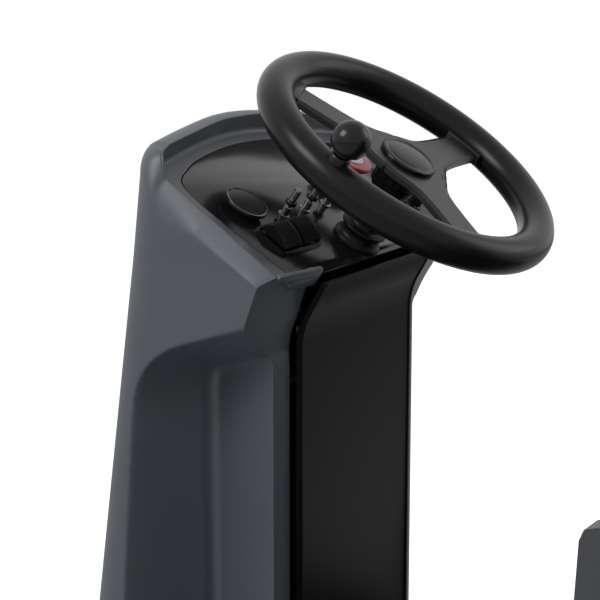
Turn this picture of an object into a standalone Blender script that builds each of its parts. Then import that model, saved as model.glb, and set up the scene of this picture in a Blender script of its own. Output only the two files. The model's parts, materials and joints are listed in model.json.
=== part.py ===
"""Ride-on sweeper: a compact sit-on floor sweeper, forward along -Y, its left side at +X.

The origin lies on the floor under the middle of the machine. Lengths are in metres.
"""

import math

import bmesh
import bpy
from mathutils import Matrix, Vector

# Steering wheel and dash
WHEEL_CENTRE = Vector((0.0, -0.29, 1.09))
WHEEL_TILT = math.radians(33.8)
RIM_RADIUS = 0.165
RIM_TUBE_RADIUS = 0.0205
SPOKE_WIDTH = 0.044
SPOKE_THICKNESS = 0.009
SPOKE_ANGLES = (180.0, 292.0, 68.0)
HUB_RADIUS = 0.045
HUB_CAP_RADIUS = 0.033
COLLAR_RADIUS = 0.026
COLLAR_HEIGHT = 0.034
KNOB_RADIUS = 0.021
KNOB_ANGLE = -1.4
KNOB_HEIGHT = 0.0451
DASH_DROP = 0.1158
DASH_THICKNESS = 0.004
SHAFT_RADIUS = 0.011
COLUMN_WALL = 0.004
COLUMN_LENGTH = 0.060

# Console
CONSOLE_HALF_WIDTH = 0.200
CONSOLE_FRONT = 0.2469
CONSOLE_REAR = 0.0345
CONSOLE_REAR_FOOT = 0.0713
SCOOP_DEPTH = 0.037
CONSOLE_TOP = 0.030
CONSOLE_SIDE_FLARE = 0.046
CONSOLE_FRONT_FLARE = 0.0932
CONSOLE_FRONT_ARC = 0.757
CONSOLE_CORNER = 0.035
CONSOLE_WALL = 0.004
COWL_HEIGHT = 0.022
PANEL_HALF_WIDTH = 0.1298
PANEL_THICKNESS = 0.006

# Chassis
DECK_TOP = 0.300
DECK_THICKNESS = 0.020
DECK_HALF_WIDTH = 0.385
DECK_FRONT = -0.655
DECK_REAR = 0.044
MACHINE_FRONT = -0.710
MACHINE_REAR = 0.690
RAIL_OUTER = 0.295
RAIL_WIDTH = 0.025
RAIL_HEIGHT = 0.050
SHELF_TOP = 0.440
SHELF_THICKNESS = 0.005
POST_THICKNESS = 0.011
PEDAL_GAP = 0.0235
PEDAL_EDGE = 0.0305

# Front wheel and steering gear
FRONT_WHEEL_RADIUS = 0.115
FRONT_WHEEL_WIDTH = 0.070
SPINDLE_Y = -0.520
SPINDLE_RADIUS = 0.020
CHAIN_CENTRES = 0.100
SMALL_SPROCKET = 0.018
SPROCKET_RATIO = 3.0
CHAIN_HEIGHT = 0.360
CHAIN_THICKNESS = 0.005
CHAIN_WIDTH = 0.008

# Rear wheels
REAR_WHEEL_RADIUS = 0.130
REAR_WHEEL_WIDTH = 0.070
REAR_AXLE_Y = 0.400
REAR_AXLE_RADIUS = 0.0125

# Brushes and hopper
MAIN_BRUSH_RADIUS = 0.138
MAIN_BRUSH_CORE = 0.045
MAIN_BRUSH_LENGTH = 0.508
MAIN_BRUSH_Y = 0.140
MAIN_BRUSH_Z = 0.142
ARM_PIVOT = Vector((0.0, -0.040, DECK_TOP - 0.045))
ARM_THICKNESS = 0.007
SIDE_BRUSH_RADIUS = 0.160
SIDE_BRUSH_AT = Vector((0.330, -0.545, 0.0))
HOPPER_HALF_WIDTH = 0.262
HOPPER_FRONT = 0.300
HOPPER_TOP = 0.415
HOPPER_WALL = 0.004

# Rear body, hood and seat
BODY_WALL = 0.005
BODY_HALF_WIDTH = 0.385
BODY_TOP_HALF_WIDTH = 0.322
BODY_FRONT = 0.046
BODY_BOTTOM = 0.075
BODY_SHOULDER = 0.620
BODY_TOP = 0.740
WING_TOP = 0.822
WING_THICKNESS = 0.036
HOOD_HALF_WIDTH = 0.262
HOOD_REAR = 0.600
SEAT_HALF_WIDTH = 0.230
SEAT_FRONT = 0.120
SEAT_DEPTH = 0.400
SEAT_THICKNESS = 0.085
BACKREST_HEIGHT = 0.360
BACKREST_TILT = math.radians(10)

CLEARANCE = 0.0003
RUNNING = 0.0006

SHELL = ("shell blue grey", (0.086, 0.094, 0.105), 0.45, 0.0)
BLACK = ("black plastic", (0.012, 0.012, 0.013), 0.40, 0.0)
DASH = ("dash black", (0.030, 0.030, 0.031), 0.55, 0.0)
GLOSS = ("gloss black", (0.006, 0.006, 0.007), 0.12, 0.0)
RUBBER = ("rubber", (0.016, 0.016, 0.017), 0.80, 0.0)
STEEL = ("steel", (0.45, 0.46, 0.48), 0.35, 1.0)
PAINTED = ("painted frame", (0.025, 0.026, 0.028), 0.45, 0.0)
RED = ("signal red", (0.50, 0.06, 0.07), 0.40, 0.0)
GREY = ("pale grey", (0.55, 0.56, 0.57), 0.45, 0.0)
BRISTLE = ("bristle", (0.05, 0.07, 0.10), 0.90, 0.0)
VINYL = ("seat vinyl", (0.018, 0.018, 0.020), 0.60, 0.0)


def material_of(finish):
    name, colour, roughness, metallic = finish
    material = bpy.data.materials.get(name)
    if material is None:
        material = bpy.data.materials.new(name)
        material.use_nodes = True
        shader = material.node_tree.nodes["Principled BSDF"]
        shader.inputs["Base Color"].default_value = (*colour, 1.0)
        shader.inputs["Roughness"].default_value = roughness
        shader.inputs["Metallic"].default_value = metallic
    return material


def placed(name, shape, finish=None, place=None):
    """An object made of a bmesh. Without a finish it is a helper, which no render shows."""
    bmesh.ops.recalc_face_normals(shape, faces=shape.faces)
    mesh = bpy.data.meshes.new(name)
    shape.to_mesh(mesh)
    shape.free()
    thing = bpy.data.objects.new(name, mesh)
    bpy.context.scene.collection.objects.link(thing)
    if place is not None:
        thing.matrix_world = place
    if finish is None:
        thing.hide_render = True
        thing.display_type = "WIRE"
    else:
        mesh.materials.append(material_of(finish))
        mesh.shade_smooth()
        mesh.set_sharp_from_angle(angle=math.radians(35))
    return thing


def combined(thing, operation, helpers):
    for helper in helpers:
        modifier = thing.modifiers.new(helper.name, "BOOLEAN")
        modifier.operation = operation
        modifier.solver = "EXACT"
        modifier.object = helper
    return thing


def joined(thing, *shapes):
    """Adds shapes, given as (bmesh, place) or as a bmesh in world axes, to a thing."""
    return combined(thing, "UNION", [helper_of(thing, shape) for shape in shapes])


def cut(thing, *shapes):
    return combined(thing, "DIFFERENCE", [helper_of(thing, shape) for shape in shapes])


def helper_of(thing, shape):
    shape, place = shape if isinstance(shape, tuple) else (shape, None)
    return placed(f"{thing.name}_helper", shape, None, place)


def bevelled(thing, width, segments=2, angle=40):
    modifier = thing.modifiers.new("bevel", "BEVEL")
    modifier.width = width
    modifier.segments = segments
    modifier.limit_method = "ANGLE"
    modifier.angle_limit = math.radians(angle)
    return thing


def block(low, high):
    """A box between two corners."""
    shape = bmesh.new()
    low, high = Vector(low), Vector(high)
    middle = Matrix.Translation((low + high) / 2)
    bmesh.ops.create_cube(shape, size=1.0, matrix=middle @ Matrix.Diagonal((*(high - low), 1)))
    return shape


def lofted(rings):
    """Skins rings of the same number of points, with an end face on the first and the last."""
    shape = bmesh.new()
    rows = [[shape.verts.new(point) for point in ring] for ring in rings]
    shape.faces.new(rows[0])
    shape.faces.new(rows[-1])
    for first, second in zip(rows, rows[1:]):
        for i in range(len(first)):
            j = (i + 1) % len(first)
            shape.faces.new((first[i], first[j], second[j], second[i]))
    return shape


def prism(outline, low, high, axis="z"):
    """An outline pushed along an axis. It lies in (x, y) for z, (y, z) for x and (x, z) for y."""
    turn = {
        "z": lambda a, b, h: (a, b, h),
        "x": lambda a, b, h: (h, a, b),
        "y": lambda a, b, h: (a, h, b),
    }[axis]
    return lofted([[turn(a, b, level) for a, b in outline] for level in (low, high)])


def turned(profile, steps=20):
    """A solid turned about Z. The (radius, height) profile runs from the axis back to the axis,
    or is a closed loop that stays off the axis."""
    shape = bmesh.new()
    rows = []
    for radius, height in profile:
        if radius == 0:
            rows.append([shape.verts.new((0, 0, height))] * steps)
            continue
        ring = []
        for i in range(steps):
            angle = math.tau * i / steps
            ring.append(shape.verts.new((radius * math.cos(angle), radius * math.sin(angle), height)))
        rows.append(ring)
    pairs = list(zip(rows, rows[1:]))
    if profile[0][0] > 0:
        pairs.append((rows[-1], rows[0]))
    for first, second in pairs:
        for i in range(steps):
            j = (i + 1) % steps
            corners = [first[i], first[j], second[j], second[i]]
            shape.faces.new(list(dict.fromkeys(corners)))
    return shape


def rod(radius, low, high, steps=14):
    return turned([(0, low), (radius, low), (radius, high), (0, high)], steps)


def pipe(inner, outer, low, high, steps=20):
    return turned([(inner, low), (outer, low), (outer, high), (inner, high)], steps)


def ring_of(radius, tube, around, section):
    """A torus about Z."""
    profile = []
    for i in range(section):
        angle = math.tau * i / section
        profile.append((radius + tube * math.cos(angle), tube * math.sin(angle)))
    return turned(profile, around)


def arc(centre, radius, start, end, steps):
    points = []
    for i in range(steps + 1):
        angle = math.radians(start + (end - start) * i / steps)
        points.append((centre[0] + radius * math.cos(angle), centre[1] + radius * math.sin(angle)))
    return points


def rounded(low, high, radius, steps=4):
    """A rectangle with round corners, from two corners."""
    (x0, y0), (x1, y1) = low, high
    return (
        arc((x1 - radius, y0 + radius), radius, -90, 0, steps)
        + arc((x1 - radius, y1 - radius), radius, 0, 90, steps)
        + arc((x0 + radius, y1 - radius), radius, 90, 180, steps)
        + arc((x0 + radius, y0 + radius), radius, 180, 270, steps)
    )


def mirrored(outline):
    """The outline's other half, back from its last point to its first."""
    return outline + [(-x, y) for x, y in reversed(outline)]


def along_x(x, y, z):
    """Local Z lies along +X."""
    return Matrix.Translation((x, y, z)) @ Matrix.Rotation(math.pi / 2, 4, "Y")


# Local axes of the wheel and the dash: X to the left, Y down the slope, Z along the column.
WHEEL = Matrix.Translation(WHEEL_CENTRE) @ Matrix.Rotation(-WHEEL_TILT, 4, "X")
ON_DASH = WHEEL @ Matrix.Translation((0, 0, -DASH_DROP))


def on_dash(x, up_slope, height=0.0):
    """A place on the dash: to the left, up the slope and above its face."""
    return ON_DASH @ Matrix.Translation((x, -up_slope, height))


JOINT_Y = SPINDLE_Y + CHAIN_CENTRES
JOINT_DEPTH = (ON_DASH.translation.y - JOINT_Y) / math.sin(WHEEL_TILT)
JOINT_Z = ON_DASH.translation.z - JOINT_DEPTH * math.cos(WHEEL_TILT)
YOKE_RADIUS = 0.015
YOKE_REACH = 0.008
CROSS_RADIUS = 0.0085


def make_steering_wheel():
    around = 44
    placed("steering_rim", ring_of(RIM_RADIUS, RIM_TUBE_RADIUS, around, 12), BLACK, WHEEL)

    reach = (RIM_RADIUS - RIM_TUBE_RADIUS) * math.cos(math.pi / around) - CLEARANCE
    low = -SPOKE_THICKNESS
    plate = placed("spoke_plate", rod(HUB_RADIUS, low, 0.0, 28), BLACK, WHEEL)
    half = SPOKE_WIDTH / 2
    end = math.sqrt(reach**2 - half**2)
    spoke = [
        (0.010, -half - 0.004), (0.060, -half), (end, -half), (end, half), (0.060, half),
        (0.010, half + 0.004),
    ]
    for angle in SPOKE_ANGLES:
        turn = WHEEL @ Matrix.Rotation(math.radians(angle), 4, "Z")
        joined(plate, (prism(spoke, low + 0.0004, -0.0004), turn))
    cut(plate, (rod(SHAFT_RADIUS * 0.6, -0.03, 0.03), WHEEL))

    dome = [(0, CLEARANCE), (HUB_CAP_RADIUS, CLEARANCE), (HUB_CAP_RADIUS, 0.0030)]
    for share in (0.9, 0.65, 0.35):
        dome.append((HUB_CAP_RADIUS * share, 0.0030 + 0.0045 * math.sqrt(1 - share**2)))
    placed("hub_cap", turned(dome + [(0, 0.0075)], 24), BLACK, WHEEL)

    top = low - CLEARANCE
    bore = SHAFT_RADIUS + CLEARANCE
    collar = turned(
        [(bore, top - COLLAR_HEIGHT), (0.021, top - COLLAR_HEIGHT), (COLLAR_RADIUS, top - 0.028),
         (COLLAR_RADIUS, top - 0.004), (0.030, top), (bore, top)], 24)
    placed("hub_collar", collar, BLACK, WHEEL)

    shaft = placed(
        "steering_shaft", rod(SHAFT_RADIUS, YOKE_RADIUS - DASH_DROP - JOINT_DEPTH + 0.006, top), STEEL,
        WHEEL,
    )
    joint = WHEEL @ Matrix.Translation((0, 0, -DASH_DROP - JOINT_DEPTH))
    joined(shaft, *((arm, joint) for arm in yoke("x", 1)))


def yoke(axis, side):
    """A yoke's two arms and its cheek, about an origin where the joint's axes cross."""
    arms = []
    base = YOKE_RADIUS + 0.002
    low, high = sorted((-side * YOKE_REACH, side * (base + 0.006)))
    for sign in (-1, 1):
        near, far = sorted((sign * (CROSS_RADIUS + 0.002), sign * YOKE_RADIUS))
        if axis == "x":
            arms.append(block((near, -0.005, low), (far, 0.005, high)))
        else:
            arms.append(block((-0.005, near, low), (0.005, far, high)))
    low, high = sorted((side * base, side * (base + 0.008)))
    arms.append(rod(YOKE_RADIUS + 0.0005, low, high))
    return arms


def make_spinner_knob():
    """The turning knob that stands on the rim, on a short post."""
    turn = Matrix.Rotation(math.radians(KNOB_ANGLE), 4, "Z")
    at = WHEEL @ turn @ Matrix.Translation((RIM_RADIUS, 0.0, 0.0))
    foot = RIM_TUBE_RADIUS + CLEARANCE
    neck = KNOB_HEIGHT - KNOB_RADIUS * 0.83
    pin, tip = 0.006, KNOB_HEIGHT + 0.002
    post = [(0, foot), (0.0115, foot), (0.0115, neck - 0.002), (pin, neck - 0.001), (pin, tip), (0, tip)]
    placed("knob_post", turned(post, 20), BLACK, at)
    bore = pin + CLEARANCE
    mouth = math.asin((neck - KNOB_HEIGHT) / KNOB_RADIUS)
    ball = [(0, tip + CLEARANCE), (bore, tip + CLEARANCE), (bore, neck)]
    for i in range(9):
        angle = mouth + (math.pi / 2 - mouth) * i / 9
        ball.append((KNOB_RADIUS * math.cos(angle), KNOB_HEIGHT + KNOB_RADIUS * math.sin(angle)))
    ball.append((0, KNOB_HEIGHT + KNOB_RADIUS))
    placed("spinner_knob", turned(ball, 20), GLOSS, at)


def console_outline(level, inset=0.0, flare=True):
    """The console's plan at a height above the dash's front edge, from the left rear corner round
    the front to the right rear corner."""
    share = (WHEEL_CENTRE.z + CONSOLE_TOP - level) / (WHEEL_CENTRE.z + CONSOLE_TOP - DECK_TOP)
    half = CONSOLE_HALF_WIDTH + CONSOLE_SIDE_FLARE * share * flare - inset
    front = WHEEL_CENTRE.y - CONSOLE_FRONT - CONSOLE_FRONT_FLARE * share * flare + inset
    radius = CONSOLE_CORNER - inset
    arc_radius = CONSOLE_FRONT_ARC - inset
    end = (half - radius) / (1 - radius / arc_radius)
    lean = math.degrees(math.asin(end / arc_radius))
    lean_cos = math.cos(math.radians(lean))
    corner_y = front + arc_radius * (1 - lean_cos) + radius * lean_cos
    points = [(half, WHEEL_CENTRE.y - CONSOLE_REAR)]
    points += arc((half - radius, corner_y), radius, 0, lean - 90, 5)
    for share in (0.66, 0.33):
        angle = math.radians(lean * share)
        points.append((arc_radius * math.sin(angle), front + arc_radius * (1 - math.cos(angle))))
    return mirrored(points)


def dash_outline(gap=0.0):
    """The dash panel's plan in dash axes, from its rear edge up the slope to its round front."""
    points = [(0.118, 0.030), (0.122, 0.026), (0.171, 0.026), (0.178, -0.0486), (0.183, -0.0986)]
    points += [(0.176, -0.134), (0.162, -0.150), (0.120, -0.1655), (0.076, -0.1746), (0.030, -0.180)]
    return mirrored([(x - gap, y + (gap if y < 0 else -gap)) for x, y in points])


def make_console():
    low = DECK_TOP + CLEARANCE
    high = WHEEL_CENTRE.z + 0.090
    shell = placed("console_shell", lofted([at_level(console_outline(z), z) for z in (low, high)]), SHELL)

    # The top is cut along the dash, with the cowl left standing round the front and level beyond it.
    beyond = 0.095
    fall = beyond * math.tan(WHEEL_TILT)
    face = [
        (0.08, 0.004), (-0.140, 0.004), (-0.172, COWL_HEIGHT), (-0.205, COWL_HEIGHT + 0.001),
        (-0.205 - beyond, COWL_HEIGHT - fall), (-0.205 - beyond, 0.30), (0.08, 0.30),
    ]
    cut(shell, (prism(face, -0.4, 0.4, "x"), ON_DASH))
    bowl = mirrored(
        [
            (0.197, 0.08), (0.197, -0.145), (0.188, -0.166), (0.168, -0.1765), (0.104, -0.189),
            (0.03, -0.1975),
        ]
    )
    cut(shell, (prism(bowl, 0.0, 0.1), ON_DASH))

    # Below the dash's flange it is hollow, and open at the bottom and behind.
    inner_top = [(x, y, inner_ceiling(y)) for x, y in console_outline(WHEEL_CENTRE.z, CONSOLE_WALL)]
    inner_low = [(x, y, low - 0.02) for x, y in console_outline(low - 0.02, CONSOLE_WALL)]
    rear = WHEEL_CENTRE.y - CONSOLE_REAR_FOOT - CONSOLE_WALL
    inner_top = [(x, min(y, rear), inner_ceiling(min(y, rear))) for x, y, z in inner_top]
    inner_low = [(x, min(y, rear), z) for x, y, z in inner_low]
    cavity = helper_of(shell, lofted([inner_low, inner_top]))
    for side in (1, -1):
        cut(cavity, scoop(side, CONSOLE_WALL))
    combined(shell, "DIFFERENCE", [cavity])
    half = PANEL_HALF_WIDTH + CLEARANCE
    cut(shell, block((-half, rear - 0.02, low - 0.01), (half, rear + 0.08, WHEEL_CENTRE.z + 0.1)))

    # Its back leans away from the driver towards the foot, and its rear corners are cut off.
    y, z = WHEEL_CENTRE.y, WHEEL_CENTRE.z
    back = [
        (y - 0.0345, z - 0.105), (y - 0.0606, z - 0.159), (y - 0.0674, z - 0.175),
        (y - CONSOLE_REAR_FOOT, z - 0.198),
    ]
    back += [(y - CONSOLE_REAR_FOOT, low - 0.01), (y + 0.1, low - 0.01), (y + 0.1, z - 0.105)]
    cut(shell, prism(back, -0.4, 0.4, "x"))
    cut(shell, (prism(dash_outline(-CLEARANCE), -0.012, 0.01), ON_DASH))
    for side in (1, -1):
        cut(shell, scoop(side))

    panel = placed("dash_panel", prism(dash_outline(), -DASH_THICKNESS, 0.0), DASH, ON_DASH)
    cut(panel, (rod(SHAFT_RADIUS + 0.002, -0.02, 0.02), ON_DASH))


def at_level(outline, level):
    return [(x, y, level) for x, y in outline]


def inner_ceiling(y):
    """Height of the underside of the dash's flange at a place along the machine."""
    below = CONSOLE_WALL / math.cos(WHEEL_TILT)
    return ON_DASH.translation.z - below + (ON_DASH.translation.y - y) * math.tan(WHEEL_TILT)


def scoop(side, grow=0.0):
    """The knee recess in a console side: a flat pad with a wide sloping wall in front of it."""
    pad_x, out_x = CONSOLE_HALF_WIDTH - SCOOP_DEPTH - grow, CONSOLE_HALF_WIDTH + 0.015 - grow
    y, z = WHEEL_CENTRE.y, WHEEL_CENTRE.z
    foot = DECK_TOP + 0.060
    pad = [
        (y + 0.02, z - 0.152), (y - 0.139, z - 0.208), (y - 0.158, z - 0.227), (y - 0.162, z - 0.250),
        (y - 0.162, foot + 0.05), (y + 0.02, foot + 0.05),
    ]
    out = [
        (y + 0.02, z - 0.118), (y - 0.162, z - 0.186), (y - 0.210, z - 0.220), (y - 0.226, z - 0.270),
        (y - 0.285, foot), (y + 0.02, foot),
    ]
    rings = [[(side * x, a, b) for a, b in ring] for x, ring in ((pad_x, pad), (out_x, out))]
    rings.append([(side * (out_x + 0.06), a, b) for a, b in out])
    for ring in rings:
        middle = Vector((0, y - 0.05, z - 0.45))
        for i, point in enumerate(ring):
            away = (Vector(point) - middle) * Vector((0, 1, 1))
            ring[i] = Vector(point) + away.normalized() * grow * 1.6
    return lofted(rings)


def make_console_panel():
    """The driver's side panel, which leans back at its top to meet the dash."""
    back = WHEEL_CENTRE.y - 0.0617
    z = WHEEL_CENTRE.z
    profile = [
        (back, DECK_TOP + CLEARANCE), (back, z - 0.198), (back + 0.0022, z - 0.180),
        (back + 0.0075, z - 0.163), (back + 0.0300, z - 0.1215),
    ]
    inner = [(y - PANEL_THICKNESS, height + 0.002) for y, height in reversed(profile[1:])]
    inner.append((back - PANEL_THICKNESS, DECK_TOP + CLEARANCE))
    panel = placed(
        "console_rear_panel", prism(profile + inner, -PANEL_HALF_WIDTH, PANEL_HALF_WIDTH, "x"), BLACK,
    )
    bevelled(panel, 0.002, 1)


def make_column():
    flange = -DASH_THICKNESS - CLEARANCE
    bore = SHAFT_RADIUS + RUNNING
    outer = bore + COLUMN_WALL
    foot, neck = flange - COLUMN_LENGTH, flange - 0.004
    tube = [(bore, foot), (outer, foot), (outer, neck), (0.024, neck), (0.024, flange), (bore, flange)]
    placed("column_tube", turned(tube, 20), STEEL, ON_DASH)
    bore = SHAFT_RADIUS + 0.001
    boot = [
        (bore, CLEARANCE), (0.0290, CLEARANCE), (0.0290, 0.004), (0.0245, 0.007), (0.0240, 0.016),
        (0.0270, 0.018), (0.0270, 0.021), (0.0200, 0.024), (0.0170, 0.032), (bore, 0.034),
    ]
    placed("column_boot", turned(boot, 18), RUBBER, ON_DASH)


def make_stand():
    """A bent steel stand on the deck, which carries the intermediate shaft inside the console."""
    foot = DECK_TOP + CLEARANCE
    top = JOINT_Z - 0.055
    middle = JOINT_Y
    stand = placed(
        "steering_stand", block((-0.090, middle - 0.020, top - 0.006), (0.090, middle + 0.020, top)),
        PAINTED,
    )
    for side in (-1, 1):
        joined(
            stand,
            block(
                *ordered(
                    (side * 0.084, middle - 0.0202, foot),
                    (side * 0.0905, middle + 0.0202, top - 0.0005),
                )
            ),
        )
        joined(
            stand,
            block(
                *ordered((side * 0.080, middle - 0.030, foot), (side * 0.120, middle + 0.030, foot + 0.005))
            ),
        )
    joined(stand, block((-0.088, middle - 0.0198, 0.420), (0.088, middle + 0.0198, 0.426)))
    cut(stand, (rod(SHAFT_RADIUS + RUNNING, 0.40, JOINT_Z), Matrix.Translation((0, middle, 0))))


def ordered(low, high):
    return [min(a, b) for a, b in zip(low, high)], [max(a, b) for a, b in zip(low, high)]


def sprocket(radius, teeth, low, high):
    outline = []
    for i in range(teeth):
        for share, reach in ((0.0, -0.0022), (0.35, 0.0), (0.65, 0.0)):
            angle = math.tau * (i + share) / teeth
            outline.append(((radius + reach) * math.cos(angle), (radius + reach) * math.sin(angle)))
    return prism(outline, low, high)


def make_intermediate_shaft():
    joint = Matrix.Translation((0, JOINT_Y, JOINT_Z))
    foot = DECK_TOP + 0.002
    shaft = placed(
        "intermediate_shaft", rod(SHAFT_RADIUS, foot - JOINT_Z, -YOKE_RADIUS - 0.006), STEEL, joint,
    )
    joined(shaft, *((arm, joint) for arm in yoke("y", -1)))
    cross = turned([(0, -CROSS_RADIUS), (CROSS_RADIUS * 0.7, -CROSS_RADIUS * 0.7), (CROSS_RADIUS, 0),
                    (CROSS_RADIUS * 0.7, CROSS_RADIUS * 0.7), (0, CROSS_RADIUS)], 16)
    pin = Matrix.Rotation(math.pi / 2, 4, "X")
    joined(shaft, (cross, joint), (rod(0.003, -YOKE_RADIUS + 0.001, YOKE_RADIUS - 0.001, 12), joint @ pin))
    joined(
        shaft,
        (sprocket(SMALL_SPROCKET, 9, CHAIN_HEIGHT - JOINT_Z, CHAIN_HEIGHT + CHAIN_WIDTH - JOINT_Z), joint),
    )


def chain_loop(extra):
    """A belt's outline round both sprockets, extra metres outside their tips."""
    big, small = SMALL_SPROCKET * SPROCKET_RATIO + extra, SMALL_SPROCKET + extra
    lean = math.degrees(math.asin((big - small) / CHAIN_CENTRES))
    ring = arc((0, SPINDLE_Y), big, lean + 180 - 2 * lean, 360 + lean, 20)
    return ring + arc((0, JOINT_Y), small, lean, 180 - lean, 10)


def make_chain():
    low, high = CHAIN_HEIGHT, CHAIN_HEIGHT + CHAIN_WIDTH
    chain = placed("steering_chain", prism(chain_loop(RUNNING + CHAIN_THICKNESS), low, high), STEEL)
    cut(chain, prism(chain_loop(RUNNING), low - 0.01, high + 0.01))


def make_fork():
    crown = 0.236
    top = CHAIN_HEIGHT + 0.012
    spindle = Matrix.Translation((0, SPINDLE_Y, 0))
    fork = placed("front_fork", rod(SPINDLE_RADIUS, crown, top, 18), PAINTED, spindle)
    joined(fork, (rod(0.050, crown, crown + 0.010, 20), spindle))
    inner = FRONT_WHEEL_WIDTH / 2 + 0.006
    axle = FRONT_WHEEL_RADIUS
    for side in (-1, 1):
        leg = ordered(
            (side * inner, SPINDLE_Y - 0.022, axle - 0.022),
            (side * (inner + 0.008), SPINDLE_Y + 0.022, crown + 0.0096),
        )
        joined(fork, block(*leg))
        joined(
            fork,
            block(
                *ordered(
                    (side * 0.020, SPINDLE_Y - 0.0218, crown + 0.0002),
                    (side * (inner + 0.0078), SPINDLE_Y + 0.0218, crown + 0.0094),
                )
            ),
        )
    teeth = round(9 * SPROCKET_RATIO)
    joined(
        fork,
        (
            sprocket(SMALL_SPROCKET * SPROCKET_RATIO, teeth, CHAIN_HEIGHT, CHAIN_HEIGHT + CHAIN_WIDTH),
            spindle,
        ),
    )
    joined(fork, (rod(0.010, -inner - 0.012, inner + 0.012), along_x(0, SPINDLE_Y, axle)))


def wheel_pair(name, radius, width, bore, place):
    """A tyre on its hub, which turns on a fixed axle along X."""
    seat = radius * 0.62
    half = width / 2
    tread = [
        (seat, -half + 0.006), (radius * 0.80, -half), (radius - 0.010, -half + 0.004),
        (radius, -half + 0.014), (radius, half - 0.014), (radius - 0.010, half - 0.004),
        (radius * 0.80, half), (seat, half - 0.006),
    ]
    placed(f"{name}_tyre", turned(tread, 24), RUBBER, place)
    rim = seat - CLEARANCE
    boss, well, edge = bore + 0.014, rim - 0.012, half - 0.006
    hub = [
        (bore, -half), (boss, -half), (boss + 0.002, -0.008), (well, -0.006), (well + 0.004, -edge),
        (rim, -edge), (rim, edge), (well + 0.004, edge), (well, 0.006), (boss + 0.002, 0.008),
        (boss, half), (bore, half),
    ]
    placed(f"{name}_hub", turned(hub, 24), GREY, place)


def make_wheels():
    wheel_pair(
        "front", FRONT_WHEEL_RADIUS, FRONT_WHEEL_WIDTH, 0.010 + RUNNING,
        along_x(0, SPINDLE_Y, FRONT_WHEEL_RADIUS),
    )
    for side, name in ((1, "rear_left"), (-1, "rear_right")):
        middle = side * (RAIL_OUTER + 0.004 + REAR_WHEEL_WIDTH / 2)
        wheel_pair(
            name, REAR_WHEEL_RADIUS, REAR_WHEEL_WIDTH, REAR_AXLE_RADIUS + RUNNING,
            along_x(middle, REAR_AXLE_Y, REAR_WHEEL_RADIUS),
        )


def make_frame():
    """Two box rails joined by cross members, with the steering head, axle brackets and shelf."""
    top = DECK_TOP - DECK_THICKNESS - CLEARANCE
    low = top - RAIL_HEIGHT
    inner = RAIL_OUTER - RAIL_WIDTH
    frame = placed("main_frame", block((inner, -0.640, low), (RAIL_OUTER, 0.660, top)), PAINTED)
    joined(frame, block((-RAIL_OUTER, -0.640, low), (-inner, 0.660, top)))
    head = top - 0.001
    joined(
        frame,
        block((-inner - 0.01, SPINDLE_Y - 0.060, head - 0.022), (inner + 0.01, SPINDLE_Y + 0.060, head)),
    )
    joined(frame, block((-inner - 0.01, -0.1401, low + 0.005), (inner + 0.01, -0.100, top - 0.005)))
    for side in (-1, 1):
        bracket = ordered(
            (side * inner, REAR_AXLE_Y - 0.035, REAR_WHEEL_RADIUS - 0.030),
            (side * (RAIL_OUTER - 0.001), REAR_AXLE_Y + 0.035, low + 0.004),
        )
        joined(frame, block(*bracket))
        axle = along_x(0, REAR_AXLE_Y, REAR_WHEEL_RADIUS)
        ends = sorted((side * (inner + 0.005), side * (RAIL_OUTER + 0.006 + REAR_WHEEL_WIDTH)))
        joined(frame, (rod(REAR_AXLE_RADIUS, *ends), axle))
        for y in (0.140, 0.575):
            post = ordered(
                (side * (RAIL_OUTER - POST_THICKNESS), y, top - 0.004),
                (side * (RAIL_OUTER - 0.001), y + 0.030, SHELF_TOP - 0.002),
            )
            joined(frame, block(*post))
    half = BODY_HALF_WIDTH - BODY_WALL - CLEARANCE
    joined(frame, block((-half, 0.125, SHELF_TOP - SHELF_THICKNESS), (half, 0.612, SHELF_TOP)))
    cut(
        frame,
        (rod(SPINDLE_RADIUS + RUNNING, low - 0.05, top + 0.05), Matrix.Translation((0, SPINDLE_Y, 0))),
    )
    pin = along_x(0, ARM_PIVOT.y, ARM_PIVOT.z)
    cut(frame, (rod(0.008 + RUNNING, -0.5, 0.5), pin))


def make_deck():
    low = DECK_TOP - DECK_THICKNESS
    outline = rounded((-DECK_HALF_WIDTH, DECK_FRONT), (DECK_HALF_WIDTH, DECK_REAR), 0.030)
    deck = placed("floor_deck", prism(outline, low, DECK_TOP), BLACK)
    cut(deck, (rod(SPINDLE_RADIUS + 0.004, 0.2, 0.4), Matrix.Translation((0, SPINDLE_Y, 0))))
    bevelled(deck, 0.003, 1, 60)

    level = DECK_TOP + CLEARANCE
    edge = DECK_HALF_WIDTH - 0.008
    mat = rounded((-edge, WHEEL_CENTRE.y - 0.030), (edge, DECK_REAR - 0.008), 0.020, 3)
    placed("floor_mat", prism(mat, level, level + 0.004), RUBBER)

    bumper = rounded((-DECK_HALF_WIDTH, MACHINE_FRONT), (DECK_HALF_WIDTH, DECK_FRONT + 0.15), 0.055, 5)
    bumper = placed("front_bumper", prism(bumper, low - 0.045, DECK_TOP + 0.012), RUBBER)
    gap = CLEARANCE
    inside = rounded(
        (-DECK_HALF_WIDTH + 0.014, DECK_FRONT - gap), (DECK_HALF_WIDTH - 0.014, DECK_FRONT + 0.4), 0.030,
        4,
    )
    cut(bumper, prism(inside, low - 0.1, DECK_TOP + 0.1))
    cut(bumper, block((-0.5, DECK_FRONT - gap, low - gap), (0.5, 0.0, DECK_TOP + 0.1)))
    cut(bumper, block((-0.5, DECK_FRONT + 0.05, low - 0.1), (0.5, 0.0, DECK_TOP + 0.1)))
    bevelled(bumper, 0.006, 1, 50)


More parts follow.
